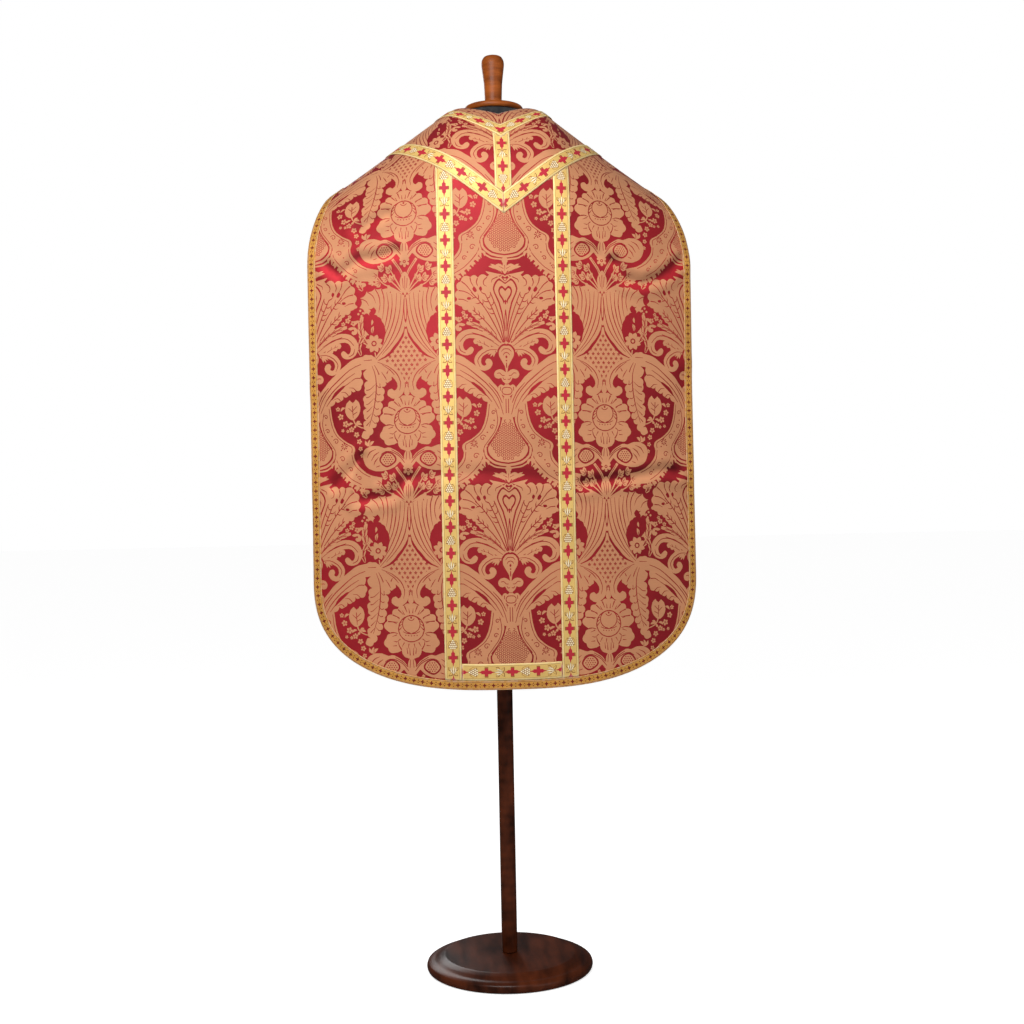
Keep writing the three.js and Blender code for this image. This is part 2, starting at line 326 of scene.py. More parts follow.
def panel_outline(side):
    """Every edge of a panel, anticlockwise on the flat cloth."""
    neck = front_neck if side == FRONT else back_neck
    right = right_outline(90)
    left = [(-s, q) for s, q in reversed(right)]
    shoulder = along((NECK_HALF, 0), (right[0][0], 0), 40)
    over = [(s, float(shoulder_edge(s))) for s, _ in shoulder]
    opening = [(s, neck(s)) for s, _ in along((-NECK_HALF, 0), (NECK_HALF, 0), 70)][1:-1]
    ring = left + [(-s, q) for s, q in reversed(over)] + opening + over + right
    return tidy_ring(ring)


def tidy_ring(ring, least=0.5):
    """Drops places that lie on top of their neighbour and turns the ring anticlockwise."""
    kept = []
    for place in ring:
        if not kept or math.dist(place, kept[-1]) > least:
            kept.append(place)
    if math.dist(kept[0], kept[-1]) <= least:
        kept.pop()
    area = sum(a[0] * b[1] - b[0] * a[1] for a, b in zip(kept, kept[1:] + kept[:1]))
    return kept if area > 0 else kept[::-1]


# ---------------------------------------------------------------- figured cloth

def inside(x, y, ring):
    """Which places lie inside a ring."""
    ring = np.asarray(ring)
    x0, y0 = ring[:, 0][:, None], ring[:, 1][:, None]
    x1, y1 = np.roll(ring[:, 0], -1)[:, None], np.roll(ring[:, 1], -1)[:, None]
    spans = (y0 > y) != (y1 > y)
    with np.errstate(divide="ignore", invalid="ignore"):
        crossing = x < (x1 - x0) * (y - y0) / (y1 - y0) + x0
    return (spans & crossing).sum(axis=0) % 2 == 1


def well_inside(x, y, ring, border):
    """Which places lie inside a ring and away from its edge."""
    kept = inside(x, y, ring)
    for dx, dy in ((border, 0), (-border, 0), (0, border), (0, -border)):
        kept &= inside(x + dx, y + dy, ring)
    return kept


def thinned(ring, tolerance):
    """The ring with fewer places, none of the rest further off than the tolerance."""
    ring = np.asarray(ring, float)
    keep = np.zeros(len(ring), bool)
    far = int(np.argmax(np.linalg.norm(ring - ring[0], axis=1)))
    keep[[0, far]] = True
    runs = [(0, far), (far, len(ring))]
    while runs:
        a, b = runs.pop()
        if b - a < 2:
            continue
        first = ring[a]
        way = ring[b % len(ring)] - first
        off = ring[a + 1:b] - first
        apart = np.abs(off[:, 0] * way[1] - off[:, 1] * way[0]) / (np.hypot(*way) or 1e-9)
        worst = int(np.argmax(apart))
        if apart[worst] > tolerance:
            keep[a + 1 + worst] = True
            runs += [(a, a + 1 + worst), (a + 1 + worst, b)]
    return ring[keep]


class Figure:
    """Shapes laid over each other in order, repeated along y if it has a period."""

    def __init__(self, shapes, tolerance, period=0.0, ground=0):
        self.period = period
        self.ground = ground
        self.shapes = []
        for value, ring in shapes:
            ring = thinned(ring, tolerance)
            if len(ring) > 2:
                self.shapes.append((value, ring, ring.min(axis=0), ring.max(axis=0)))
        self.lines = self.borders()

    def values(self, x, y):
        """The topmost shape's value at every place."""
        found = np.full(len(x), self.ground)
        copies = (0.0, self.period, -self.period) if self.period else (0.0,)
        y = np.mod(y, self.period) if self.period else y
        for value, ring, low, high in self.shapes:
            for shift in copies:
                if self.period and (high[1] < shift or low[1] > shift + self.period):
                    continue
                moved = y + shift
                near = (x > low[0]) & (x < high[0]) & (moved > low[1]) & (moved < high[1])
                near = np.nonzero(near)[0]
                if len(near):
                    found[near[inside(x[near], moved[near], ring)]] = value
        return found

    def borders(self):
        """The stretches of the shapes' edges where the value really changes."""
        starts = np.concatenate([ring for _, ring, _, _ in self.shapes])
        ends = np.concatenate([np.roll(ring, -1, axis=0) for _, ring, _, _ in self.shapes])
        way = ends - starts
        long = np.linalg.norm(way, axis=1)
        aside = np.stack([-way[:, 1], way[:, 0]], axis=1) / np.maximum(long, 1e-9)[:, None] * 0.05
        shows = np.zeros(len(starts), bool)
        for part in (0.08, 0.3, 0.5, 0.7, 0.92):
            at = starts + way * part
            one, other = at + aside, at - aside
            shows |= self.values(one[:, 0], one[:, 1]) != self.values(other[:, 0], other[:, 1])
        return np.stack([starts[shows], ends[shows]], axis=1)


def dots_inside(ring, spacing, border):
    """A staggered grid of places inside a ring, a little away from its edge."""
    xs, ys = zip(*ring)
    gx, gy = np.meshgrid(np.arange(min(xs), max(xs), spacing), np.arange(min(ys), max(ys), spacing))
    gx = gx + (np.arange(gx.shape[0]) % 2)[:, None] * spacing / 2
    gx, gy = gx.ravel(), gy.ravel()
    kept = well_inside(gx, gy, ring, border)
    return np.stack([gx[kept], gy[kept]], axis=1)


def chopped(lines, longest):
    """The lines with every long one cut into short equal parts."""
    counts = np.ceil(np.linalg.norm(lines[:, 1] - lines[:, 0], axis=1) / longest).astype(int)
    counts = np.maximum(counts, 1)
    first = np.repeat(np.cumsum(counts) - counts, counts)
    number = np.arange(counts.sum()) - first
    start = np.repeat(lines[:, 0], counts, axis=0)
    way = np.repeat(lines[:, 1] - lines[:, 0], counts, axis=0)
    parts = np.repeat(counts, counts)
    one = start + way * (number / parts)[:, None]
    other = start + way * ((number + 1) / parts)[:, None]
    return np.stack([one, other], axis=1)


def net(outline, lines, spacing, border):
    """Triangles over an outline that keep the lines drawn on it."""
    count = len(outline)
    edges = [(k, (k + 1) % count) for k in range(count)]
    places = [np.asarray(outline, float)]
    if len(lines):
        lines = chopped(lines, spacing)
        clear = well_inside(lines[:, 0, 0], lines[:, 0, 1], outline, border)
        clear &= well_inside(lines[:, 1, 0], lines[:, 1, 1], outline, border)
        lines = lines[clear]
        ends, index = np.unique(lines.reshape(-1, 2).round(3), axis=0, return_inverse=True)
        index = index.reshape(-1, 2) + count
        edges += [(int(a), int(b)) for a, b in index if a != b]
        places.append(ends)
    places.append(dots_inside(outline, spacing, border))
    vertices = [Vector(place) for place in np.concatenate(places)]
    found = delaunay_2d_cdt(vertices, edges, [], 0, 1e-3, True)
    points = np.array([tuple(v) for v in found[0]])
    faces = np.array(found[2])
    middle = points[faces].mean(axis=1)
    faces = faces[inside(middle[:, 0], middle[:, 1], outline)]
    a, b, c = points[faces[:, 0]], points[faces[:, 1]], points[faces[:, 2]]
    doubled = (b - a)[:, 0] * (c - a)[:, 1] - (b - a)[:, 1] * (c - a)[:, 0]
    faces[doubled < 0] = faces[doubled < 0][:, ::-1]
    faces = faces[np.abs(doubled) > 1e-7]
    rim = [0] * count
    for new, olds in enumerate(found[3]):
        for old in olds:
            if old < count:
                rim[old] = new
    return points, faces, rim


def figured_sheet(name, outline, lines, values, place, low, high, finishes, fine, coarse, painted_slope_light=None):
    """A closed sheet with a woven figure on its outer face and the last finish on its inner one.

    The outline and lines are in the piece's own flat millimetres, and place(x, y, height) lays them."""
    flat, faces, rim = net(outline, lines, fine, 0.8)
    middle = flat[faces].mean(axis=1)
    slots = values(middle[:, 0], middle[:, 1])
    back_flat, back, back_rim = net(outline, [], coarse, 2.0)
    outer = place(flat[:, 0], flat[:, 1], high)
    inner = place(back_flat[:, 0], back_flat[:, 1], low)
    first = outer[faces[:, 0]]
    cross = np.cross(outer[faces[:, 1]] - first, outer[faces[:, 2]] - first)
    away = place(flat[faces[:, 0], 0], flat[faces[:, 0], 1], high + 1.0) - first
    mirrored = (cross * away).sum() < 0
    back = back + len(outer)
    sides = []
    for k in range(len(rim)):
        after = (k + 1) % len(rim)
        side = [rim[k], back_rim[k] + len(outer), back_rim[after] + len(outer), rim[after]]
        sides.append(side[::-1] if mirrored else side)
    faces, back = (faces[:, ::-1], back) if mirrored else (faces, back[:, ::-1])
    mesh = bpy.data.meshes.new(name)
    mesh.from_pydata(np.concatenate([outer, inner]).tolist(), [], faces.tolist() + back.tolist() + sides)
    for finish in finishes:
        mesh.materials.append(finish)
    plain = np.full(len(back) + len(sides), len(finishes) - 1)
    mesh.polygons.foreach_set("material_index", np.concatenate([slots, plain]).astype(np.int32))
    smooth = np.ones(len(mesh.polygons), bool)
    smooth[len(faces) + len(back):] = False
    mesh.polygons.foreach_set("use_smooth", smooth)
    corners = np.zeros(len(mesh.loops), np.int32)
    mesh.loops.foreach_get("vertex_index", corners)
    uv = mesh.uv_layers.new(name="flat_cloth")
    uv.data.foreach_set("uv", (np.concatenate([flat, back_flat])[corners] * MM).ravel())
    ends = np.array(list(outline) + [outline[0]])
    every = np.concatenate([flat, back_flat])
    rim_distance = mesh.attributes.new("rim_distance", "FLOAT", "POINT")
    rim_distance.data.foreach_set("value", away_from_run(every[:, 0], every[:, 1], ends) * MM)
    # Painted light and shade: the slope of the creases is stored per place, and the finishes lighten and
    # darken the colour with it.
    if painted_slope_light:
        slope = mesh.attributes.new("painted_slope_light", "FLOAT", "POINT")
        slope.data.foreach_set("value", painted_slope_light(every[:, 0], every[:, 1]))
    mesh.update()
    return linked(name, mesh)


def linked(name, mesh):
    piece = bpy.data.objects.new(name, mesh)
    bpy.context.scene.collection.objects.link(piece)
    return piece


# ---------------------------------------------------------------- drawing the figures

def smoothed(points, closed=True, steps=4):
    """A smooth line through a few places."""
    n = len(points)
    line = []
    for i in range(n if closed else n - 1):
        if closed:
            a, b, c, d = (points[(i + k - 1) % n] for k in range(4))
        else:
            a, b, c, d = (points[min(max(i + k - 1, 0), n - 1)] for k in range(4))
        for k in range(steps):
            t = k / steps
            line.append(tuple(
                0.5 * (2 * q + (r - p) * t + (2 * p - 5 * q + 4 * r - s) * t * t
                       + (3 * q - p - 3 * r + s) * t ** 3)
                for p, q, r, s in zip(a, b, c, d)))
    return line if closed else line + [tuple(points[-1])]


def reached(x, y, reach, angle, tall=None):
    """The place that a reach leads to, at an angle. Tall is the reach upwards, where it differs."""
    return x + reach * math.cos(angle), y + (tall or reach) * math.sin(angle)


def arc(x, y, radius, start, end, cells, tall=1.0):
    turns = [math.radians(start + (end - start) * k / cells) for k in range(cells + 1)]
    return [reached(x, y, radius, a, radius * tall) for a in turns]


def stroke(path, widths):
    """The outline of a line whose width changes along it."""
    left, right = [], []
    for i, (x, y) in enumerate(path):
        (x0, y0), (x1, y1) = path[max(i - 1, 0)], path[min(i + 1, len(path) - 1)]
        long = math.hypot(x1 - x0, y1 - y0) or 1
        part = i / (len(path) - 1) * (len(widths) - 1)
        k = min(int(part), len(widths) - 2)
        half = (widths[k] + (widths[k + 1] - widths[k]) * (part - k)) / 2
        dx, dy = -(y1 - y0) / long * half, (x1 - x0) / long * half
        left.append((x + dx, y + dy))
        right.append((x - dx, y - dy))
    return left + right[::-1]


class Chart:
    """Shapes drawn over each other. Value 1 is the figure and 0 the ground."""

    # How far along a lobe of a frond, how far out and how far ahead its edge goes.
    LOBE = ((0.0, 0.62, 0.0), (0.3, 0.98, 0.1), (0.7, 1.12, 0.32), (0.95, 0.86, 0.42))

    def __init__(self):
        self.shapes = []

    def add(self, ring, value=1):
        self.shapes.append((value, ring))

    def blob(self, points, value=1, steps=4):
        self.add(smoothed(points, True, steps), value)

    def lobes(self, valleys, value=1, bulge=0.32, steps=5):
        """A ring with a round lobe between each pair of valleys. A third number sets its own bulge."""
        ring = []
        for a, b in zip(valleys, valleys[1:] + valleys[:1]):
            dx, dy = b[0] - a[0], b[1] - a[1]
            out = a[2] if len(a) > 2 else bulge
            for k in range(steps if out else 1):
                t = k / steps
                off = 4 * t * (1 - t) * out
                ring.append((a[0] + dx * t + dy * off, a[1] + dy * t - dx * off))
        self.add(ring, value)

    def line(self, points, widths=(2, 4.2, 2), value=0, steps=5):
        self.add(stroke(smoothed(points, False, steps), widths), value)

    def lines(self, *paths, widths=(1.5, 4.5, 2)):
        for path in paths:
            self.line(path, widths)

    def disc(self, x, y, radius, value=1, cells=10, tall=1.0):
        self.add(arc(x, y, radius, 0, 360 - 360 / cells, cells - 1, tall), value)

    def ring(self, x, y, radius, wide=3.5, value=0, cells=10):
        self.disc(x, y, radius, value, cells)
        self.disc(x, y, radius - wide, 1 - value, cells)

    def leaf(self, base, tip, wide, bend=0.0, vein=0.0, value=1):
        """A plain leaf from base to tip, with a vein if it has a width."""
        dx, dy = tip[0] - base[0], tip[1] - base[1]
        long = math.hypot(dx, dy)

        def at(part, off):
            off += bend * long * 4 * part * (1 - part)
            return base[0] + dx * part + dy / long * off, base[1] + dy * part - dx / long * off

        side = ((0.25, 0.35), (0.6, 0.5), (0.86, 0.27))
        self.blob([at(0, 0)] + [at(t, w * wide) for t, w in side] + [at(1, 0)]
                  + [at(t, -w * wide) for t, w in reversed(side)], value, 3)
        if vein:
            self.line([at(0.05, 0), at(0.4, 0), at(0.75, 0)], (vein, vein, 1), 1 - value, 3)

    def flower(self, x, y, radius, petals=5, turn=0.0):
        """A small flower with notched petals and a ringed eye."""
        points = []
        for k in range(petals):
            for part, reach in ((-0.32, 0.84), (0, 1.0), (0.32, 0.84), (0.5, 0.48)):
                a = 2 * math.pi * (k + part) / petals + turn
                points.append(reached(x, y, radius * reach, a))
        self.blob(points, 1, 2)
        self.disc(x, y, radius * 0.3, 0, 8)
        self.disc(x, y, radius * 0.14, 1, 6)

    def comb(self, root, tips, wide, bend=0.15):
        """Small pointed leaves from one root."""
        for tip in tips:
            self.leaf(root, tip, wide, bend)

    def frond(self, spine, wide, lobes, shares=(0.5, 0.5), vein=4.0, sharp=1.0):
        """An acanthus leaf along a curved rib: slanting lobes on both sides, parted by veins."""
        path = smoothed(spine, False, 8)
        last = len(path) - 1

        def rib(part):
            i = min(int(part * last), last - 1)
            f = part * last - i
            (x0, y0), (x1, y1) = path[i], path[i + 1]
            long = math.hypot(x1 - x0, y1 - y0) or 1
            return (x0 + (x1 - x0) * f, y0 + (y1 - y0) * f), ((x1 - x0) / long, (y1 - y0) / long)

        def off_rib(part, way, reach, ahead=0.0):
            (x, y), (dx, dy) = rib(part)
            return x - dy * reach * way + dx * ahead, y + dx * reach * way + dy * ahead

        def width(part):
            return wide * (0.25 + 0.75 * math.sin(math.pi * min(1.0, part * 0.9 + 0.08)) ** 0.8)

        def edge(way, share):
            points = []
            for k in range(lobes):
                for f, reach, ahead in self.LOBE:
                    w = width((k + f) / lobes) * share
                    points.append(off_rib((k + f) / lobes, way, w * reach, w * ahead * sharp))
            return points

        self.blob([path[0]] + edge(1, shares[0]) + [path[-1]] + edge(-1, shares[1])[::-1], 1, 2)
        self.add(stroke(path[1:-3], (vein * 1.2, vein, 1.2)), 0)
        for k in range(1, lobes):
            for way, share in ((1, shares[0]), (-1, shares[1])):
                w = width(k / lobes) * share
                start = off_rib(max(k / lobes - 0.2, 0.02), way, 2)
                bend = off_rib(max(k / lobes - 0.05, 0.03), way, w * 0.3)
                self.add(stroke([start, bend, off_rib(k / lobes, way, w * 0.66)], (1.2, vein * 0.7, vein)), 0)

    def scroll(self, x, y, radius, start=200, turns=1.1, widths=(3.6, 3.6, 2.6), value=0):
        """A line that winds in to its middle."""
        cells = max(8, int(abs(turns) * 12))
        path = []
        for i in range(cells + 1):
            a = math.radians(start) + 2 * math.pi * turns * i / cells
            reach = radius * (1 - i / cells) ** 0.6
            path.append(reached(x, y, reach, a))
        self.add(stroke(path, widths), value)


# ---------------------------------------------------------------- the damask's figure

def draw_lace(chart):
    """A band of lace that runs from the knob round the shield, out to the column."""
    outer = smoothed([(92, -110), (97, -66), (104, -20), (118, 30), (140, 66), (180, 98), (214, 116),
        (224, 138), (216, 162), (224, 196), (258, 236), (300, 262), (360, 276)], False)
    inner = smoothed([(30, -110), (46, -66), (38, -20), (36, 16), (50, 64), (78, 104), (102, 136),
        (108, 168), (116, 204), (142, 240), (186, 286), (250, 322), (350, 330)], False)
    chart.add(outer + inner[::-1])
    chart.lines([(84, -100), (88, -60), (94, -16), (108, 34), (132, 72), (176, 106), (206, 124),
        (206, 150)], [(206, 160), (214, 204), (250, 246), (300, 272)],
        [(46, -100), (58, -60), (50, -16), (49, 18), (62, 60), (90, 100), (114, 132), (121, 164)],
        [(121, 170), (129, 200), (152, 232), (196, 276), (250, 308)], widths=(3.4, 3.4))
    for u, w, radius in ((68, -30, 11), (76, 40, 12), (122, 92, 15), (156, 180, 15), (196, 232, 12),
            (240, 276, 11)):
        chart.scroll(u, w, radius)
    for u, w in ((66, 8), (100, 66), (150, 136), (182, 142), (180, 204), (226, 258)):
        chart.disc(u, w, 3.6, 0, 8)
    for k in range(8):
        a = math.pi * k / 4
        chart.line([reached(166, 118, 5, a), reached(166, 118, 17, a)], (2, 7), 0, 2)


def draw_shield(chart):
    """A pointed shield of rings on the palmette's axis."""
    chart.blob([(0, -130), (12, -90), (20, -40), (26, 0), (40, 48), (64, 92), (92, 130), (98, 150),
        (88, 178), (54, 206), (0, 218), (-40, 205), (-40, -60)])
    chart.lines([(22, -60), (30, -4), (46, 48), (72, 92), (100, 128)], widths=(4, 4))
    chart.lines([(104, 138), (92, 176), (56, 206), (0, 217)], widths=(4, 4))
    chart.line([(112, 140), (104, 182), (62, 216), (0, 228)], (11, 12), 1)
    chart.lines([(119, 148), (110, 188), (66, 224), (0, 236)], widths=(3, 3))
    chart.line([(126, 150), (116, 194), (70, 232), (0, 243)], (7, 8), 1)
    for row in range(17):
        w = -70 + row * 16.5
        for column in range(5):
            u = (column + (0.5 if row % 2 else 0)) * 19
            edge = 8 + max(0, w + 60) * 0.16 + max(0, w - 10) * 0.42
            if u < min(edge, 84) - 6 and (u / 92) ** 2 + (max(0, w - 90) / 116) ** 2 < 0.9:
                chart.ring(u, w, 8.2, 3.2, 0, 8)


def draw_fringe(chart):
    """Small leaves along the lace's lower edge."""
    for u, w, a in ((122, 196, 78), (134, 226, 70), (156, 250, 62), (176, 272, 58), (200, 296, 52),
            (226, 314, 62), (254, 326, 76), (284, 334, 84)):
        for off, long in ((-0.75, 20), (-0.1, 27), (0.6, 20)):
            r = math.radians(a + 40) + off
            chart.leaf((u, w), reached(u, w, long, r), 13, 0.12)
    chart.leaf((112, 196), (98, 226), 14, -0.2)
    chart.leaf((118, 190), (112, 236), 12, 0.1)


def draw_finial(chart):
    """The little spray that stands on the palmette."""
    chart.disc(0, 246, 15, 1, 12, 1.15)
    chart.blob([(0, 258), (10, 262), (9, 272), (20, 264), (34, 262), (46, 270), (38, 282), (24, 284),
        (14, 282), (11, 298), (0, 312), (-14, 290)])
    for base, tip, wide, bend in (((8, 300), (56, 270), 17, 0.1), ((12, 308), (80, 276), 19, 0.15),
            ((14, 314), (94, 298), 17, -0.12), ((30, 300), (72, 262), 12, 0.1)):
        chart.leaf(base, tip, wide, bend)
    chart.lines([(0, 268), (0, 300)], [(6, 286), (30, 274)], [(14, 304), (58, 284)], widths=(3, 3, 1))


def draw_palmette(chart):
    """The palmette's crown: a full spray of leaves with a lobed edge."""
    chart.lobes([(-20, 330, 0), (12, 336, 0.1), (34, 322), (86, 326), (132, 330), (168, 326), (216, 346),
        (230, 388), (234, 430), (212, 468), (184, 484, 0.2), (166, 500, 0.2), (152, 520, 0.15),
        (128, 540, 0.15), (108, 566, 0.1), (60, 620, 0), (10, 668, 0), (-20, 668, 0)])
    chart.blob([(190, 440), (220, 432), (246, 446), (240, 458), (214, 456)])
    # the leaf fingers of the crown, from the outside in
    chart.lines([(226, 390), (196, 396), (168, 412), (150, 430)], [(228, 432), (204, 434), (180, 446)],
        [(212, 346), (190, 364), (168, 392), (150, 416)], [(170, 328), (166, 350), (152, 376)],
        [(134, 332), (140, 352), (132, 372)], [(88, 328), (104, 344), (104, 364), (90, 372)],
        [(36, 326), (62, 338), (66, 354)], widths=(5, 4, 1.5))
    chart.lines([(8, 660), (44, 580), (84, 504), (128, 440), (166, 400)],
        [(6, 660), (30, 570), (62, 486), (98, 410)], [(10, 664), (60, 590), (110, 530), (160, 486)],
        [(5, 655), (18, 560), (44, 476), (74, 400)], widths=(5, 4.5, 4))
    for a, b, c in (((98, 410), (112, 404), (128, 384)), ((90, 430), (76, 424), (72, 404)),
            ((84, 446), (100, 446), (116, 430)), ((74, 466), (60, 458), (56, 436)),
            ((66, 482), (82, 482), (98, 466)), ((140, 424), (156, 428), (168, 436)),
            ((120, 450), (134, 456), (150, 452)), ((132, 434), (130, 420), (136, 404)),
            ((112, 462), (108, 448), (112, 436)), ((150, 494), (150, 480), (158, 466)),
            ((128, 514), (128, 500), (136, 486)), ((106, 536), (106, 522), (114, 508)),
            ((136, 508), (150, 510), (160, 504)), ((114, 528), (128, 532), (140, 528)),
            ((56, 504), (70, 506), (84, 494))):
        chart.line([a, b, c], (5.5, 4, 1), 0, 3)
    chart.blob([(150, 372), (160, 384), (148, 400), (138, 392)], 0, 2)
    chart.blob([(118, 372), (128, 380), (120, 396), (112, 386)], 0, 2)
    chart.blob([(168, 424), (184, 424), (186, 434), (170, 436)], 0, 2)


def draw_heart(chart):
    """A heart on a long stem in the palmette's middle."""
    chart.blob([(0, 352), (14, 340), (30, 334), (48, 350), (60, 380), (52, 414), (34, 454), (18, 520),
        (6, 600), (0, 640), (-20, 520), (-30, 380)], 0)
    chart.blob([(0, 362), (16, 350), (30, 344), (42, 356), (53, 382), (46, 412), (28, 450), (12, 516),
        (3, 596), (0, 620), (-20, 520), (-30, 380)])
    chart.blob([(0, 384), (14, 370), (28, 376), (34, 396), (27, 420), (14, 440), (9, 458), (4, 446),
        (0, 462), (-20, 430), (-20, 380)], 0, 3)
    chart.blob([(0, 396), (13, 382), (24, 386), (27, 400), (20, 418), (10, 432), (5, 444), (0, 436),
        (-16, 420), (-16, 390)], 1, 3)
    chart.lines([(0, 350), (14, 330), (30, 322)], [(0, 486), (5, 540), (2, 590)], widths=(4, 3.4, 2))
    chart.line([(0, 326), (12, 318), (22, 330), (14, 342), (0, 352)], (6, 6), 1, 3)


def draw_fan(chart):
    """Toothed leaves under the crown, and the flowers at their ends."""
    chart.frond([(16, 664), (64, 610), (120, 570), (190, 548)], 30, 7, vein=3.5, sharp=1.5)
    chart.frond([(18, 668), (70, 630), (130, 604), (178, 600)], 26, 6, vein=3.5, sharp=1.5)
    for u, w, radius in ((196, 516, 15), (224, 530, 14), (172, 532, 12), (206, 498, 10)):
        chart.flower(u, w, radius, 5, u)
    chart.blob([(196, 556), (216, 548), (236, 552), (246, 568), (240, 584), (224, 588), (214, 578),
        (220, 568), (228, 570), (226, 560), (210, 564)])
    chart.leaf((226, 548), (262, 520), 15, 0.2)


def draw_volutes(chart):
    """Two scrolls that roll out from under the fan."""
    chart.blob([(8, 676), (40, 638), (88, 606), (147, 580), (202, 584), (238, 612), (248, 654), (230, 692),
        (194, 706), (166, 696), (158, 676), (170, 664), (184, 672), (194, 682), (206, 674), (210, 650),
        (196, 628), (166, 622), (122, 636), (74, 660), (34, 680)], 1, 5)
    chart.lines([(34, 664), (86, 628), (146, 604), (194, 608), (226, 640)],
        [(60, 640), (112, 612), (166, 596)], [(230, 656), (222, 682), (198, 694)], widths=(2, 4.5, 3))
    chart.lobes([(70, 672, 0.1), (92, 646), (116, 632), (142, 628), (160, 640), (140, 650), (118, 660),
        (92, 674, 0)], 1, 0.3)
    chart.lines([(84, 666), (112, 650), (142, 640)], [(104, 656), (108, 640)], [(124, 648), (130, 634)],
        widths=(3, 2, 2))
    chart.blob([(10, 680), (50, 668), (98, 668), (136, 690), (156, 724), (148, 760), (116, 782), (84, 774),
        (68, 750), (76, 728), (94, 724), (104, 738), (98, 752), (112, 758), (124, 744), (120, 718),
        (96, 700), (58, 692), (22, 696)], 1, 5)
    chart.lines([(30, 684), (76, 680), (118, 700), (140, 732), (128, 764)], widths=(2, 4.5, 2))
    chart.blob([(54, 686), (78, 692), (98, 704), (90, 716), (66, 712), (48, 700)], 0, 3)
    chart.comb((50, 692), [(88, 694), (90, 706), (78, 716), (62, 716)], 9)


def draw_drop(chart):
    """A drop with a foot below it."""
    chart.blob([(0, 654), (22, 656), (42, 680), (44, 712), (28, 744), (12, 768), (6, 796), (0, 806),
        (-20, 760), (-20, 670)], 0)
    chart.blob([(0, 662), (20, 665), (35, 684), (36, 710), (21, 738), (8, 762), (3, 790), (0, 798),
        (-20, 745), (-20, 675)])
    chart.lines([(0, 676), (14, 678), (24, 690)], [(0, 694), (10, 698), (16, 708)], widths=(4, 4, 2))
    chart.disc(0, 716, 5, 0, 8, 1.4)
    chart.disc(0, 734, 4, 0, 8)
    chart.line([(0, 744), (2, 770)], (4, 2), 0, 2)
    for k in range(5):
        chart.disc(6 + k * 8, 648 + k * 1.5, 4, 1, 8)
    chart.blob([(0, 794), (10, 786), (22, 778), (36, 776), (52, 782), (62, 798), (56, 816), (40, 822),
        (28, 818), (22, 832), (12, 842), (0, 846), (-20, 820)])
    chart.lines([(10, 806), (22, 806), (34, 794), (48, 796)], [(4, 824), (14, 826), (20, 816)],
        widths=(2.5, 4, 2.5))


def draw_knob(chart):
    """A knob with a collar, and the stem that the wings grow from."""
    chart.blob([(0, 852), (16, 856), (30, 850), (42, 860), (44, 876), (34, 886), (38, 900), (30, 912),
        (20, 906), (16, 930), (12, 1000), (0, 1040), (-20, 940)])
    chart.lines([(0, 864), (16, 866), (25, 880), (18, 896), (0, 900)], [(32, 862), (32, 880)],
        [(14, 912), (26, 900)], [(6, 920), (6, 990)], widths=(3.5, 4, 3.5))


def draw_wings(chart):
    """Two broad leaves that sweep from the knob's stem up to the waist."""
    chart.lobes([(12, 1010, 0), (14, 940, 0.05), (36, 880, 0.05), (70, 836, 0.05), (120, 786, 0.05),
        (180, 736, 0.08), (250, 700, 0.08), (345, 704, 0), (330, 732, 0.1), (262, 762, 0.14),
        (256, 800, 0.3), (262, 840, 0.3), (234, 862, 0.3), (206, 858, 0.3), (192, 886, 0.3),
        (164, 884, 0.3), (150, 910, 0.3), (124, 908, 0.2), (96, 934, 0.1), (60, 962, 0), (34, 1010, 0)])
    chart.lines([(20, 996), (44, 918), (92, 852), (152, 798), (214, 752), (300, 720)],
        [(40, 968), (74, 906), (122, 852), (176, 808), (228, 776)],
        [(74, 934), (112, 888), (160, 846), (204, 818)], [(24, 940), (48, 888), (88, 842)],
        widths=(2.5, 5, 2.5))
    chart.lines([(256, 802), (230, 802), (204, 818)], [(234, 862), (218, 848), (196, 846)],
        [(192, 884), (176, 868), (154, 868)], [(150, 908), (136, 896), (112, 904)], widths=(4.5, 3.5, 1.2))
    chart.blob([(120, 868), (160, 838), (176, 838), (140, 872), (100, 906)], 0, 3)


def draw_tulip(chart):
    """A veined bud and strings of little flowers in the hollow beside the lace."""
    chart.blob([(208, 916), (228, 904), (248, 922), (254, 956), (240, 988), (214, 1006), (188, 992),
        (174, 962), (180, 928), (198, 908)], 1, 4)
    chart.lines([(212, 936), (216, 996)], [(216, 958), (236, 938)], [(214, 966), (192, 946)],
        [(216, 978), (238, 966)], widths=(4, 2.5))
    chart.blob([(200, 902), (214, 922), (232, 902), (222, 894), (214, 904), (206, 892)], 0, 2)
    chart.line([(216, 1000), (226, 1024), (252, 1042), (290, 1050)], (7, 6, 4), 1)
    chart.comb((230, 1028), [(252, 1012), (216, 1044), (262, 1030)], 13)
    for u, w, radius in ((150, -28, 16), (176, 8, 17), (136, -66, 12), (206, 36, 15), (232, 62, 15),
            (246, 96, 14), (252, 132, 12), (186, 44, 9), (160, 40, 9), (258, 166, 11)):
        chart.flower(u, w, radius, 5, u * 0.7)
    chart.leaf((150, -54), (176, -72), 13, 0.2)
    chart.leaf((188, 20), (216, 6), 12, 0.2)


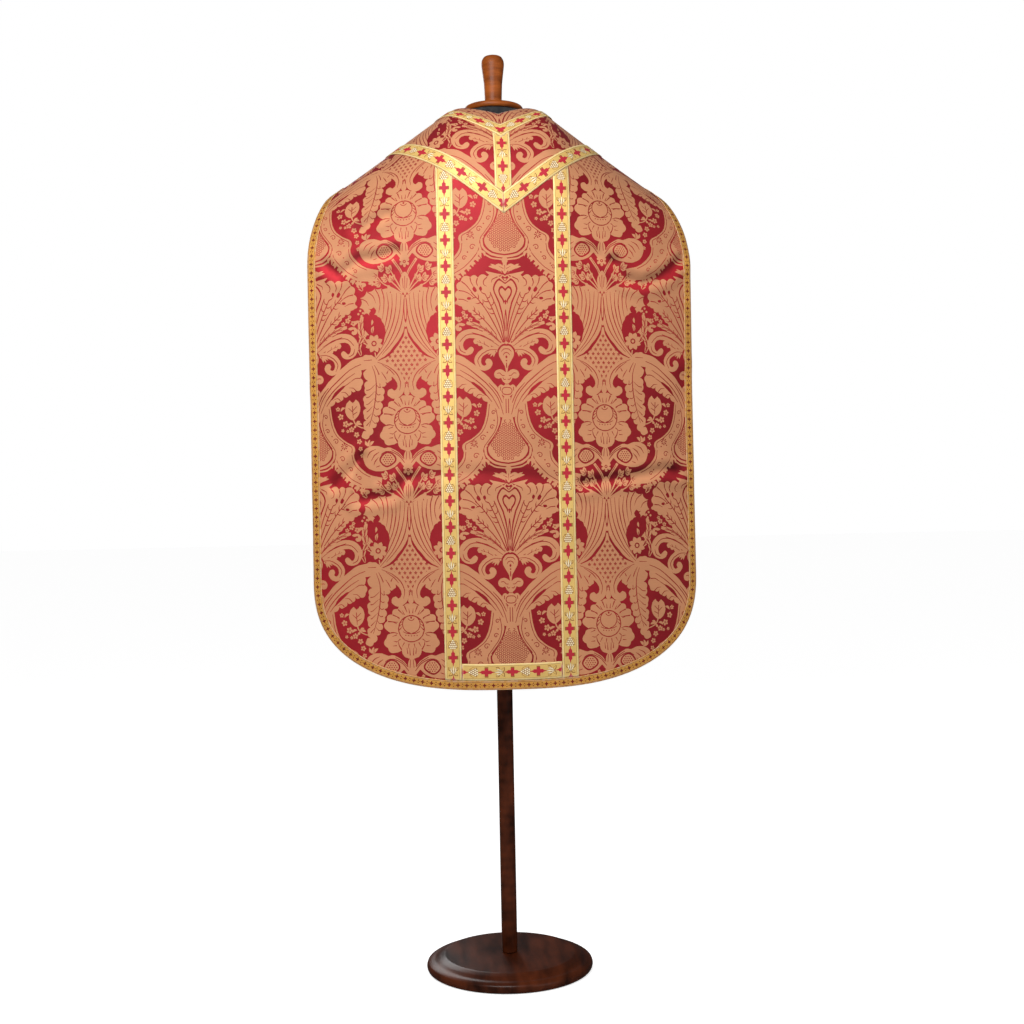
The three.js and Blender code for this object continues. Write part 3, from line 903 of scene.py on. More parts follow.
def draw_peony(chart):
    """The great flower on the flower's axis."""
    chart.lobes([(520, -118, 0.2), (520, 130, 0), (490, 150, 0), (456, 138, 0.1), (440, 104, 0.12),
        (408, 116, 0.3), (372, 94, 0.34), (364, 46, 0.2), (388, 22, 0), (368, 8, 0.36), (370, -38, 0.36),
        (396, -70, 0.34), (424, -96, 0.3), (456, -112, 0.26), (490, -118, 0.26)], 1, 0.3)
    chart.lines([(440, 102), (428, 82), (424, 62)], [(386, 20), (404, 18), (424, 24)],
        [(374, -36), (398, -34), (424, -32)], [(398, -68), (414, -62), (432, -54)],
        [(426, -94), (438, -82), (450, -70)], [(458, -110), (464, -94), (470, -80)], widths=(6, 4, 2))
    chart.add(stroke(arc(490, 0, 64, 64, 296, 24), (4.5, 4.5)), 0)
    chart.add(stroke(arc(490, -22, 44, 96, 264, 16), (4, 4)), 0)
    for k in range(6):
        a = math.radians(168 + k * 17)
        chart.line([reached(490, -20, 46, a, 42), reached(490, -6, 62, a, 60)], (1.5, 5), 0, 2)
    for reach, turn in ((74, 100), (76, 118), (74, 138), (78, 158), (78, 200), (76, 220), (76, 244),
            (76, 264)):
        a = math.radians(turn)
        far = reached(490, 0, reach + 26, a, reach + 24)
        chart.line([reached(490, 0, reach, a), far], (4.5, 1.2), 0, 2)
    chart.line([(448, 14), (466, 22), (490, 25)], (3, 4), 0, 3)
    for u in (462, 476, 490):
        chart.disc(u, 32 + (u - 462) * 0.1, 3.4, 0, 8)
    chart.disc(490, -54, 5, 0, 8)
    chart.line([(474, -50), (482, -42), (490, -40)], (3.5, 3.5), 0, 3)
    chart.lines([(400, 60), (418, 64)], [(396, 84), (416, 82)], [(466, 92), (470, 122)],
        [(480, 92), (482, 130)], widths=(1.5, 4.5))


def draw_pomegranate(chart):
    """A fruit on each side of the peony's stalk, under a curled leaf."""
    chart.blob([(490, 140), (478, 150), (470, 172), (476, 206), (490, 222), (505, 180)])
    chart.blob([(484, 216), (470, 186), (450, 158), (420, 138), (396, 128), (372, 132), (340, 120),
        (300, 122), (268, 144), (262, 184), (284, 224), (330, 244), (382, 240), (424, 224), (448, 200),
        (462, 214), (480, 234)])
    chart.lines([(474, 206), (448, 174), (412, 152), (380, 148), (356, 162)],
        [(468, 186), (440, 158), (408, 140)], [(484, 150), (480, 190)], widths=(2.5, 4.5, 3))
    chart.blob([(356, 166), (380, 150), (408, 154), (428, 172), (432, 194), (414, 214), (384, 226),
        (360, 214), (346, 190)], 0)
    chart.blob([(364, 170), (384, 157), (406, 161), (421, 176), (424, 192), (408, 208), (384, 218),
        (364, 208), (353, 190)])
    for i in range(-3, 4):
        for j in range(-3, 4):
            u, w = 390 + i * 12 + (6 if j % 2 else 0), 188 + j * 10
            if math.hypot(u - 390, w - 188) < 27:
                chart.disc(u, w, 3.3, 0, 6)
    chart.lines([(346, 150), (322, 166), (306, 192)], [(342, 176), (326, 194), (318, 214)],
        [(330, 136), (300, 150), (284, 176)], [(350, 216), (330, 224)], widths=(1.5, 5, 2))
    chart.comb((300, 122), [(276, 92), (300, 88), (322, 96)], 14)
    chart.lines([(300, 118), (300, 98)], widths=(3, 2))


def draw_bouquet(chart):
    """Crossed stalks with sprays of bell flowers, over a tall middle leaf."""
    chart.flower(490, 240, 27, 6, 0.5)
    chart.line([(430, 226), (452, 256), (474, 292), (482, 330)], (13, 12, 8), 1)
    chart.line([(436, 232), (458, 264), (478, 302)], (2.5, 2.5), 0)
    chart.blob([(490, 290), (474, 308), (464, 336), (470, 364), (480, 386), (490, 402), (506, 340)])
    chart.lines([(490, 310), (490, 380)], [(478, 320), (482, 370)], widths=(3, 4, 2))
    for u, w, a in ((424, 282, 215), (388, 268, 200), (404, 318, 190), (352, 300, 180), (366, 336, 170),
            (434, 330, 235)):
        r = math.radians(a)
        for off, long in ((-0.75, 30), (0, 36), (0.75, 30)):
            chart.leaf((u, w), reached(u, w, long, r + off), 19, 0.12, 3)
    for points in ([(480, 388), (456, 346), (430, 300), (420, 280)], [(478, 392), (440, 350), (402, 316)],
            [(476, 396), (430, 368), (380, 342), (350, 304)]):
        chart.line(points, (7, 6, 5), 1)
    chart.comb((420, 366), [(376, 372), (388, 392), (404, 352)], 17)
    chart.comb((452, 380), [(420, 388), (436, 398)], 14)
    chart.comb((330, 330), [(300, 318), (304, 340), (322, 352)], 13)


def draw_vase(chart):
    """Acanthus leaves that rise from the waist and curl over, like a vase."""
    chart.lobes([(505, 402, 0), (484, 402, 0.1), (462, 392, 0.06), (440, 372, 0.1), (414, 358, 0.0),
        (420, 392, -0.1), (398, 384, 0.1), (372, 366, 0.12), (338, 366, 0.16), (296, 378, 0.16),
        (264, 408, 0.2), (258, 456, 0.3), (280, 492, 0.36), (308, 496, 0.2), (316, 474, -0.1),
        (304, 462, -0.2), (330, 456, 0.1), (344, 474, 0.1), (334, 492, 0.15), (352, 504, 0.2),
        (372, 528, 0.1), (386, 560, 0.12), (384, 606, 0.1), (362, 656, 0.08), (322, 712, 0), (330, 728, 0),
        (372, 706, -0.06), (430, 650, -0.05), (474, 588, -0.03), (505, 540, 0)])
    chart.lines([(470, 400), (462, 480), (440, 560), (400, 640), (338, 712)],
        [(448, 392), (442, 470), (424, 546), (388, 626), (334, 704)],
        [(424, 396), (424, 460), (408, 540), (380, 606)], [(398, 386), (406, 450), (396, 516), (386, 556)],
        [(484, 420), (478, 500), (458, 574), (420, 636), (370, 690)], widths=(1.5, 5, 2))
    chart.lines([(372, 368), (384, 412), (382, 470), (374, 516)],
        [(340, 368), (358, 400), (364, 444), (356, 486)], [(300, 380), (328, 402), (342, 436)],
        [(266, 412), (292, 424), (306, 448)], widths=(4.5, 4, 1.2))
    chart.blob([(490, 400), (484, 440), (480, 480), (490, 540), (510, 470)], 0, 3)
    chart.blob([(490, 410), (486, 444), (484, 480), (490, 522), (510, 470)], 1, 3)


def draw_side_flower(chart):
    """The eight-petalled flower beside the waist, and its buds."""
    for k in range(8):
        a = 2 * math.pi * (k + 0.5) / 8
        chart.leaf(reached(330, 634, 9, a), reached(330, 634, 46, a), 24)
    chart.disc(330, 634, 14, 0, 10)
    chart.disc(330, 634, 8, 1, 8)
    chart.line([(334, 678), (338, 700)], (6, 6), 1, 2)
    chart.leaf((322, 586), (330, 548), 16, 0.1, 3)
    chart.leaf((318, 544), (322, 516), 12, -0.1)
    chart.leaf((306, 592), (284, 566), 15, 0.2)


def draw_sprigs(chart):
    """A lozenge strewn with small sprigs, under the vase."""
    chart.blob([(490, 560), (474, 596), (440, 648), (398, 690), (350, 716), (332, 720), (372, 730),
        (420, 756), (456, 794), (478, 832), (490, 856), (530, 720)], 0)
    chart.blob([(490, 570), (478, 604), (444, 656), (402, 698), (352, 722), (400, 742), (440, 770),
        (468, 806), (484, 836), (490, 844), (530, 720)])
    for row in range(11):
        for column in range(5):
            u = 490 - (column + (0.5 if row % 2 else 0)) * 27
            w = 612 + row * 22
            if (490 - u) / 128 + abs(w - 722) / 128 < 0.9:
                for turn, long in ((-90, 12), (-35, 10), (-145, 10), (40, 7), (140, 7)):
                    tip = reached(u, w + 2, long, math.radians(turn))
                    chart.leaf((u, w + 2), tip, 5.5, 0, 0, 0)


def draw_rolls(chart):
    """Leaves that roll down from the waist to either side of the next flower."""
    chart.blob([(326, 716), (376, 724), (424, 746), (462, 784), (480, 828), (478, 868), (458, 896),
        (424, 908), (396, 892), (396, 868), (414, 858), (430, 868), (444, 852), (440, 826), (416, 800),
        (396, 812), (380, 800), (372, 776), (340, 744)], 1, 5)
    chart.lines([(346, 726), (398, 748), (440, 784), (460, 828), (454, 868)],
        [(368, 738), (408, 766), (430, 792)], [(380, 798), (392, 784), (400, 768)], widths=(2, 4.8, 2))
    chart.lobes([(372, 762, 0.1), (392, 786), (414, 800, 0.3), (404, 822, 0.3), (384, 824, 0.3),
        (380, 846, 0.3), (362, 836, 0.2), (352, 790, 0)], 1, 0.3)
    chart.lines([(366, 776), (382, 800), (390, 816)], widths=(2, 4, 2))
    chart.blob([(490, 846), (480, 860), (476, 880), (484, 894), (490, 900), (504, 870)])


def draw_arch(chart):
    """A long toothed leaf that arches from the waist down beside the column."""
    chart.lobes([(330, 716, 0), (352, 738, 0.1), (376, 782, 0.12), (384, 826, 0), (366, 850, 0.28),
        (372, 888, 0.3), (356, 920, 0.3), (358, 960, 0.3), (338, 988, 0.3), (336, 1026, 0.3),
        (314, 1048, 0.3), (300, 1084, 0.3), (268, 1098, 0.3), (262, 1074, 0.3), (284, 1062, 0.2),
        (270, 1036, 0.3), (284, 1010, 0.2), (272, 984, 0.3), (286, 950, 0.2), (274, 920, 0.3),
        (288, 884, 0.2), (280, 850, 0.3), (296, 816, 0.15), (272, 776, 0)])
    chart.lines([(318, 744), (336, 800), (336, 880), (322, 960), (298, 1040)],
        [(330, 740), (354, 790), (356, 850)], widths=(2, 5, 2))
    for w in (856, 892, 926, 962, 996, 1030):
        lean = (w - 856) * 0.14
        chart.line([(334 - lean, w - 24), (350 - lean, w - 6), (362 - lean * 0.9, w - 8)], (1.2, 3.5, 4.5),
            0, 3)
        chart.line([(332 - lean, w - 20), (306 - lean * 0.8, w + 2), (286, w + 6)], (1.2, 3.5, 4.5), 0, 3)
    chart.lobes([(268, 700, 0.2), (300, 690, 0.2), (330, 704, 0), (322, 728, 0.2), (290, 742, 0.2),
        (262, 734, 0.2)], 1, 0.2)
    chart.lines([(276, 716), (318, 714)], widths=(2, 3.5))


def draw_side_leaves(chart):
    """Leaves and berries in the gap between the palmette and the vase."""
    chart.frond([(300, 640), (270, 600), (262, 548), (272, 500)], 30, 5)
    chart.frond([(276, 372), (258, 348), (262, 318), (286, 300)], 26, 4)
    chart.frond([(262, 690), (252, 650), (268, 610), (290, 590)], 22, 4)
    for u, w in ((262, 470), (276, 482), (252, 486), (268, 496)):
        chart.disc(u, w, 6, 1, 8)


def damask_chart():
    chart = Chart()
    for draw in (draw_side_leaves, draw_lace, draw_shield, draw_fringe, draw_palmette, draw_finial,
                 draw_heart, draw_fan, draw_volutes, draw_drop, draw_wings, draw_knob, draw_arch,
                 draw_tulip, draw_peony, draw_pomegranate, draw_bouquet, draw_vase, draw_side_flower,
                 draw_sprigs, draw_rolls):
        draw(chart)
    return chart


# ---------------------------------------------------------------- finishes

class Board:
    """A node tree that is wired up a node at a time."""

    def __init__(self, tree):
        self.tree = tree

    def put(self, socket, value):
        """Links an output to a socket, or sets a plain value on it."""
        if isinstance(value, bpy.types.NodeSocket):
            self.tree.links.new(value, socket)
        else:
            socket.default_value = value

    def add(self, kind, sockets=None, **settings):
        node = self.tree.nodes.new(kind)
        for name, value in settings.items():
            setattr(node, name, value)
        for name, value in (sockets or {}).items():
            self.put(node.inputs[name], value)
        return node

    def maths(self, operation, *values):
        node = self.tree.nodes.new("ShaderNodeMath")
        node.operation = operation
        for socket, value in zip(node.inputs, values):
            self.put(socket, value)
        return node.outputs[0]

    def between(self, value, low, high, to_low=0.0, to_high=1.0):
        """A value moved from one range to another and kept inside it."""
        sockets = {"Value": value, "From Min": low, "From Max": high, "To Min": to_low, "To Max": to_high}
        return self.add("ShaderNodeMapRange", sockets).outputs[0]

    def mix(self, share, one, other):
        node = self.tree.nodes.new("ShaderNodeMix")
        node.data_type = "RGBA"
        for number, value in ((0, share), (6, one), (7, other)):
            self.put(node.inputs[number], value)
        return node.outputs[2]

    def stretched(self, vector, scale):
        node = self.tree.nodes.new("ShaderNodeVectorMath")
        node.operation = "MULTIPLY"
        self.put(node.inputs[0], vector)
        self.put(node.inputs[1], scale)
        return node.outputs[0]

    def noise(self, vector, scale, detail=3.0):
        sockets = {"Vector": vector, "Scale": scale, "Detail": detail}
        return self.add("ShaderNodeTexNoise", sockets).outputs[0]


def new_group(name, inputs, outputs):
    """A shader group with named sockets, and the nodes at its two ends."""
    tree = bpy.data.node_groups.new(name, "ShaderNodeTree")
    for label, kind, value in inputs:
        socket = tree.interface.new_socket(label, in_out="INPUT", socket_type="NodeSocket" + kind)
        if value is not None:
            socket.default_value = value
    for label, kind in outputs:
        tree.interface.new_socket(label, in_out="OUTPUT", socket_type="NodeSocket" + kind)
    board = Board(tree)
    return board, board.add("NodeGroupInput").outputs, board.add("NodeGroupOutput").inputs


def woven_threads():
    """Crossing threads on the flat cloth, leaning as in a twill."""
    board, given, made = new_group("woven_threads", [
        ("Flat Cloth", "Vector", None), ("Threads Per Metre", "Float", 2200.0), ("Twill", "Float", 0.5)],
        [("Height", "Float"), ("Slub", "Float")])
    places = board.add("ShaderNodeSeparateXYZ", {"Vector": given["Flat Cloth"]}).outputs
    turns = board.maths("MULTIPLY", given["Threads Per Metre"], math.pi)
    across = board.maths("MULTIPLY", places["X"], turns)
    up = board.maths("MULTIPLY", places["Y"], turns)
    leaning = board.maths("MULTIPLY_ADD", across, given["Twill"], up)
    ridges = board.maths("MULTIPLY", board.maths("SINE", across), board.maths("SINE", leaning))
    board.put(made["Height"], board.maths("MULTIPLY_ADD", ridges, 0.5, 0.5))
    long = board.stretched(given["Flat Cloth"], (60.0, 900.0, 1.0))
    board.put(made["Slub"], board.noise(long, 1.0, 2.0))
    return board.tree


def cloth_wear_and_painted_light():
    """A cloth colour with soft patches, slubs, a rubbed rim, and painted light and shade where a crease slope
    is given.
    """
    board, given, made = new_group("cloth_wear_and_painted_light", [
        ("Colour", "Color", (0.5, 0.5, 0.5, 1)), ("Rubbed Colour", "Color", (0.6, 0.6, 0.6, 1)),
        ("Coordinates", "Vector", None), ("Slub", "Float", 0.5), ("Patch Scale", "Float", 6.0),
        ("Patch Strength", "Float", 0.3), ("Slub Strength", "Float", 0.15), ("Rim Distance", "Float", 1.0),
        ("Rim Width", "Float", 0.004), ("Painted Slope Light", "Float", 0.0)], [("Colour", "Color"), ("Wear", "Float")])
    patch = board.noise(given["Coordinates"], given["Patch Scale"])
    patch = board.maths("MULTIPLY_ADD", board.maths("SUBTRACT", patch, 0.5), given["Patch Strength"], 1.0)
    slub = board.maths("MULTIPLY", board.maths("SUBTRACT", given["Slub"], 0.5), given["Slub Strength"])
    # Painted light and shade: the crease slope's share makes the colour lighter and darker.
    value = board.maths("ADD", board.maths("ADD", patch, slub), given["Painted Slope Light"])
    value = board.maths("MAXIMUM", value, 0.12)
    shaded = board.add("ShaderNodeHueSaturation", {"Value": value, "Color": given["Colour"]}).outputs[0]
    rim = board.maths("SUBTRACT", 1.0, board.maths("DIVIDE", given["Rim Distance"], given["Rim Width"]))
    broken = board.between(board.noise(given["Coordinates"], 160.0), 0.4, 0.6, 0.1, 0.75)
    wear = board.maths("MULTIPLY", board.between(rim, 0.0, 1.0), broken)
    board.put(made["Colour"], board.mix(wear, shaded, given["Rubbed Colour"]))
    board.put(made["Wear"], wear)
    return board.tree


def turned_wood():
    """Polished wood with streaks of grain, fine turning lines and paler edges."""
    board, given, made = new_group("turned_wood", [
        ("Coordinates", "Vector", None), ("Pale", "Color", (0.3, 0.15, 0.05, 1)),
        ("Dark", "Color", (0.1, 0.05, 0.02, 1)), ("Stretch", "Vector", (1.0, 1.0, 1.0)),
        ("Lines Per Metre", "Float", 300.0), ("Pointiness", "Float", 0.5)],
        [("Colour", "Color"), ("Height", "Float"), ("Wear", "Float")])
    streaks = board.noise(board.stretched(given["Coordinates"], given["Stretch"]), 1.0, 8.0)
    clouds = board.noise(given["Coordinates"], 14.0, 2.0)
    places = board.add("ShaderNodeSeparateXYZ", {"Vector": given["Coordinates"]}).outputs
    wobble = board.maths("MULTIPLY_ADD", clouds, 0.004, places["Z"])
    lines = board.maths("MULTIPLY", wobble, board.maths("MULTIPLY", given["Lines Per Metre"], 2 * math.pi))
    lines = board.maths("MULTIPLY_ADD", board.maths("SINE", lines), 0.5, 0.5)
    grain = board.maths("MULTIPLY_ADD", lines, 0.16, board.between(streaks, 0.32, 0.68))
    grain = board.maths("MULTIPLY_ADD", board.maths("SUBTRACT", clouds, 0.5), 0.7, grain)
    wear = board.between(given["Pointiness"], 0.52, 0.6, 0.0, 0.5)
    share = board.between(board.maths("ADD", grain, wear), 0.0, 1.3)
    board.put(made["Colour"], board.mix(share, given["Dark"], given["Pale"]))
    board.put(made["Height"], grain)
    board.put(made["Wear"], wear)
    return board.tree


def ribbed_jersey():
    """Fine upright ribs round the dress form, crossed by rows of stitches."""
    board, given, made = new_group("ribbed_jersey", [
        ("Coordinates", "Vector", None), ("Ribs Round", "Float", 420.0), ("Rows Per Metre", "Float", 520.0)],
        [("Height", "Float"), ("Lint", "Float")])
    places = board.add("ShaderNodeSeparateXYZ", {"Vector": given["Coordinates"]}).outputs
    angle = board.maths("ARCTAN2", places["Y"], places["X"])
    ribs = board.maths("SINE", board.maths("MULTIPLY", angle, given["Ribs Round"]))
    up = board.maths("MULTIPLY", places["Z"], board.maths("MULTIPLY", given["Rows Per Metre"], 2 * math.pi))
    rows = board.maths("SINE", up)
    board.put(made["Height"], board.maths("MULTIPLY_ADD", rows, 0.3, ribs))
    board.put(made["Lint"], board.noise(given["Coordinates"], 90.0, 4.0))
    return board.tree


def shared(make):
    """A shader group that is made once."""
    return bpy.data.node_groups.get(make.__name__) or make()


def new_finish(name, roughness, sheen=0.0, coat=0.0, metallic=0.0):
    """A material's board and its shader, with the plain numbers set."""
    material = bpy.data.materials.new(name)
    material.use_nodes = True
    shader = material.node_tree.nodes["Principled BSDF"]
    shader.inputs["Roughness"].default_value = roughness
    shader.inputs["Sheen Weight"].default_value = sheen
    shader.inputs["Sheen Roughness"].default_value = 0.4
    shader.inputs["Coat Weight"].default_value = coat
    shader.inputs["Metallic"].default_value = metallic
    return material, Board(material.node_tree), shader


def raise_bumps(board, shader, height, distance, strength=0.5):
    bump = board.add("ShaderNodeBump", {"Strength": strength, "Distance": distance, "Height": height})
    board.put(shader.inputs["Normal"], bump.outputs[0])


def lighter(colour, share):
    """A colour moved towards white."""
    return tuple(c + (1 - c) * share for c in colour[:3]) + (1.0,)


def cloth_finish(name, colour, roughness, sheen, pitch, twill, patches, rubbed=0.35, metallic=0.0, painted_slope_light=0.0):
    """A woven cloth. Patches are the scale and strength of its uneven colour; strong ones, as on the satin
    ground, are painted sheen as well.

    The crease slope's factor paints light and shade into the colour: lighter where a crease turns the cloth
    upwards, darker where it turns down."""
    made = bpy.data.materials.get(name)
    if made:
        return made
    made, board, shader = new_finish(name, roughness, sheen, metallic=metallic)
    flat = board.add("ShaderNodeUVMap", uv_map="flat_cloth").outputs["UV"]
    place = board.add("ShaderNodeTexCoord").outputs["Object"]
    rim = board.add("ShaderNodeAttribute", attribute_name="rim_distance").outputs["Fac"]
    weave = board.add("ShaderNodeGroup", node_tree=shared(woven_threads))
    for label, value in (("Flat Cloth", flat), ("Threads Per Metre", 1 / pitch), ("Twill", twill)):
        board.put(weave.inputs[label], value)
    worn_and_lit_tone = board.add("ShaderNodeGroup", node_tree=shared(cloth_wear_and_painted_light))
    for label, value in (("Colour", tuple(colour)), ("Rubbed Colour", lighter(colour, rubbed)),
                         ("Coordinates", place), ("Slub", weave.outputs["Slub"]), ("Patch Scale", patches[0]),
                         ("Patch Strength", patches[1]), ("Rim Distance", rim)):
        board.put(worn_and_lit_tone.inputs[label], value)
    # Painted light and shade: the crease slope attribute lightens and darkens the colour.
    if painted_slope_light:
        slope = board.add("ShaderNodeAttribute", attribute_name="painted_slope_light").outputs["Fac"]
        board.put(worn_and_lit_tone.inputs["Painted Slope Light"], board.maths("MULTIPLY", slope, painted_slope_light))
    board.put(shader.inputs["Base Color"], worn_and_lit_tone.outputs["Colour"])
    shader.inputs["Specular IOR Level"].default_value = 0.22
    rough = board.maths("MULTIPLY_ADD", worn_and_lit_tone.outputs["Wear"], 0.3, roughness)
    board.put(shader.inputs["Roughness"], board.maths("MULTIPLY_ADD", weave.outputs["Slub"], 0.1, rough))
    raise_bumps(board, shader, weave.outputs["Height"], 0.0001)
    return made


def wood_finish(name, pale, dark, stretch, lines, roughness, coat):
    made = bpy.data.materials.get(name)
    if made:
        return made
    made, board, shader = new_finish(name, roughness, coat=coat)
    wood = board.add("ShaderNodeGroup", node_tree=shared(turned_wood))
    place = board.add("ShaderNodeTexCoord").outputs["Object"]
    edges = board.add("ShaderNodeNewGeometry").outputs["Pointiness"]
    for label, value in (("Coordinates", place), ("Pale", tuple(pale)), ("Dark", tuple(dark)),
                         ("Stretch", stretch), ("Lines Per Metre", lines), ("Pointiness", edges)):
        board.put(wood.inputs[label], value)
    board.put(shader.inputs["Base Color"], wood.outputs["Colour"])
    rough = board.maths("MULTIPLY_ADD", wood.outputs["Wear"], 0.3, roughness)
    board.put(shader.inputs["Roughness"], board.maths("MULTIPLY_ADD", wood.outputs["Height"], 0.08, rough))
    raise_bumps(board, shader, wood.outputs["Height"], 0.0002, 0.4)
    shader.inputs["Coat Roughness"].default_value = 0.18
    shader.inputs["Specular IOR Level"].default_value = 0.25
    return made


def jersey_finish():
    made, board, shader = new_finish("black_jersey", 0.85, sheen=0.25)
    knit = board.add("ShaderNodeGroup", node_tree=shared(ribbed_jersey))
    place = board.add("ShaderNodeTexCoord").outputs["Object"]
    edges = board.add("ShaderNodeNewGeometry").outputs["Pointiness"]
    board.put(knit.inputs["Coordinates"], place)
    colour = tuple(chosen().jersey)
    lint = board.between(knit.outputs["Lint"], 0.35, 0.75)
    rubbed = board.maths("ADD", lint, board.between(edges, 0.52, 0.6, 0.0, 0.6))
    worn = board.mix(board.between(rubbed, 0.0, 1.6), colour, lighter(colour, 0.05))
    board.put(shader.inputs["Base Color"], worn)
    board.put(shader.inputs["Roughness"], board.maths("MULTIPLY_ADD", lint, 0.1, 0.8))
    raise_bumps(board, shader, knit.outputs["Height"], 0.0003)
    return made


def damask_finishes():
    """The damask's ground, its figure and the plain inner face."""
    now = chosen()
    # The ground's strong patches are painted sheen as well as uneven dye, and the ground's and figure's slope
    # factors paint light and shade along the creases.
    return [cloth_finish("crimson_ground", now.ground, 0.45, 0.03, now.thread, 0.25, (4.5, 1.3),
                         rubbed=0.25, metallic=0.35, painted_slope_light=-2.0),
            cloth_finish("tan_figure", now.figure, 0.5, 0.05, now.thread, 1.0, (6.0, 0.45), painted_slope_light=-1.0),
            cloth_finish("plain_lining", now.lining, 0.62, 0.05, now.thread, 0.0, (9.0, 0.3))]


def galloon_finishes():
    """The wide galloons' gold, edge, red, brown and white threads, and their back."""
    now = chosen()
    tones = (("galloon_gold", now.galloon, 0.25), ("galloon_edge", now.galloon_edge, 0.25),
             ("galloon_red", now.galloon_red, 0.0), ("galloon_brown", now.galloon_brown, 0.0),
             ("galloon_white", now.galloon_white, 0.0), ("galloon_back", now.galloon, 0.1))
    return [cloth_finish(name, colour, 0.48, 0.03, 0.0007, 0.0, (22.0, 0.35), 0.3, metallic)
            for name, colour, metallic in tones]


def edging_finishes():
    """The narrow galloon's gold and red threads, and its back."""
    now = chosen()
    tones = (("edging_gold", now.edging, 0.2), ("edging_red", now.edging_red, 0.0),
             ("edging_back", now.edging, 0.1))
    return [cloth_finish(name, colour, 0.5, 0.03, 0.0006, 0.0, (30.0, 0.5), 0.3, metallic)
            for name, colour, metallic in tones]


def base_wood():
    now = chosen()
    return wood_finish("turned_base_wood", now.base_pale, now.base_dark, (38.0, 9.0, 26.0), 60.0, 0.3, 0.12)


def cap_wood():
    now = chosen()
    return wood_finish("turned_cap_wood", now.cap_pale, now.cap_dark, (30.0, 30.0, 120.0), 330.0, 0.4, 0.03)


# ---------------------------------------------------------------- the damask's place on the cloth

def repeat_tall():
    return chosen().repeat / MM


def folded(s, q):
    """Where a flat place lies on the damask's chart."""
    cell = np.floor(s / HALF_REPEAT)
    part = s / HALF_REPEAT - cell
    u = np.where(cell % 2 == 0, part, 1 - part) * CHART_WIDE
    return u, (FLOWER_ROW - q) / repeat_tall() * CHART_TALL


def clipped(lines, axis, low, high):
    """The parts of straight lines that lie between two bounds of one axis."""
    ends = lines[..., axis]
    lines = lines[(ends.min(axis=1) < high) & (ends.max(axis=1) > low)].copy()
    for bound, way in ((low, -1), (high, 1)):
        ends = lines[..., axis]
        beyond = (ends - bound) * way > 0
        with np.errstate(divide="ignore", invalid="ignore"):
            part = (bound - ends[:, 0]) / (ends[:, 1] - ends[:, 0])
            there = lines[:, 0] + (lines[:, 1] - lines[:, 0]) * part[:, None]
        for end in (0, 1):
            lines[beyond[:, end], end] = there[beyond[:, end]]
    return lines


def spread(lines):
    """The chart's lines repeated over a whole panel, in flat millimetres."""
    lines = clipped(lines, 0, 0.0, CHART_WIDE)
    u, w = lines[..., 0] / CHART_WIDE, lines[..., 1] / CHART_TALL
    copies = []
    across = range(math.floor(-HALF_WIDTH / HALF_REPEAT), math.ceil(HALF_WIDTH / HALF_REPEAT))
    rows = math.ceil(FLOWER_ROW / repeat_tall()) + 1
    for cell in across:
        s = (cell + u if cell % 2 == 0 else cell + 1 - u) * HALF_REPEAT
        for row in range(-rows, rows + 1):
            copies.append(np.stack([s, FLOWER_ROW - (w + row) * repeat_tall()], axis=-1))
    return np.concatenate(copies)


# ---------------------------------------------------------------- the galloons' figures

GOLD, EDGE, RED, BROWN, WHITE = range(5)
MOTIF_STEP = 23.5
EDGE_MOTIF_STEP = 16.0


def draw_cross(chart, t, fit):
    """A cross whose upright runs out in two thin stems."""
    chart.add([(t - 3.3, -9.4 * fit), (t + 3.3, -9.4 * fit), (t + 3.3, 9.4 * fit), (t - 3.3, 9.4 * fit)],
        BROWN)
    chart.add([(t - 3.3, -7 * fit), (t + 3.3, -7 * fit), (t + 3.3, 7 * fit), (t - 3.3, 7 * fit)], RED)
    half = [(t - 16, 0.2), (t - 10, 1.4), (t - 8.4, 3.4), (t + 8.4, 3.4), (t + 10, 1.4), (t + 16, 0.2)]
    chart.add(half + [(x, -y) for x, y in reversed(half)], RED)


def draw_grapes(chart, t, fit):
    """A bunch of grapes between two vine leaves."""
    for way in (-1, 1):
        leaf = [(t - 5, way * 2), (t - 7, way * 5.5), (t - 4, way * 7.4), (t - 1, way * 9.2),
            (t + 3, way * 8.2), (t + 6.5, way * 8.6), (t + 6, way * 5), (t + 2, way * 2)]
        chart.blob([(x, y * fit) for x, y in leaf], BROWN, 2)
        chart.blob([(t + (x - t) * 0.8, y * 0.84 * fit + way * 0.8) for x, y in leaf], GOLD, 2)
        chart.line([(t - 4, way * 4 * fit), (t + 1, way * 6 * fit), (t + 5, way * 7 * fit)], (0.9, 0.5),
            BROWN, 2)
    for row, count in ((-7.2, 1), (-4, 2), (-0.4, 3), (3.2, 4), (6.6, 3)):
        for k in range(count):
            y = (k - (count - 1) / 2) * 3.7 * fit
            chart.disc(t + row, y, 2.15, BROWN, 9)
            chart.disc(t + row, y, 1.5, WHITE, 8)


def draw_ears(chart, t, fit):
    """White ears of corn between two pairs of pointed leaves."""
    for way in (-1, 1):
        for lean_by, reach, wide in ((8.6, 9.5, 5.6), (8.8, -6.5, 5.0)):
            tip = (t + reach, way * lean_by * fit)
            chart.leaf((t, way * 1.2 * fit), tip, wide, way * 0.18, 0, BROWN)
            chart.leaf((t + reach * 0.12, way * 2 * fit), (t + reach * 0.86, way * lean_by * 0.87 * fit),
                wide * 0.62, way * 0.18, 0, GOLD)
        chart.leaf((t + 6, way * 0.6 * fit), (t - 7, way * 4.4 * fit), 3.0, way * 0.12, 0, BROWN)
        chart.leaf((t + 5.2, way * 1.0 * fit), (t - 6.2, way * 4.2 * fit), 1.9, way * 0.12, 0, WHITE)
    chart.leaf((t + 8, 0), (t - 9.5, 0), 3.4, 0, 0, BROWN)
    chart.leaf((t + 7, 0), (t - 8.4, 0), 2.3, 0, 0, WHITE)


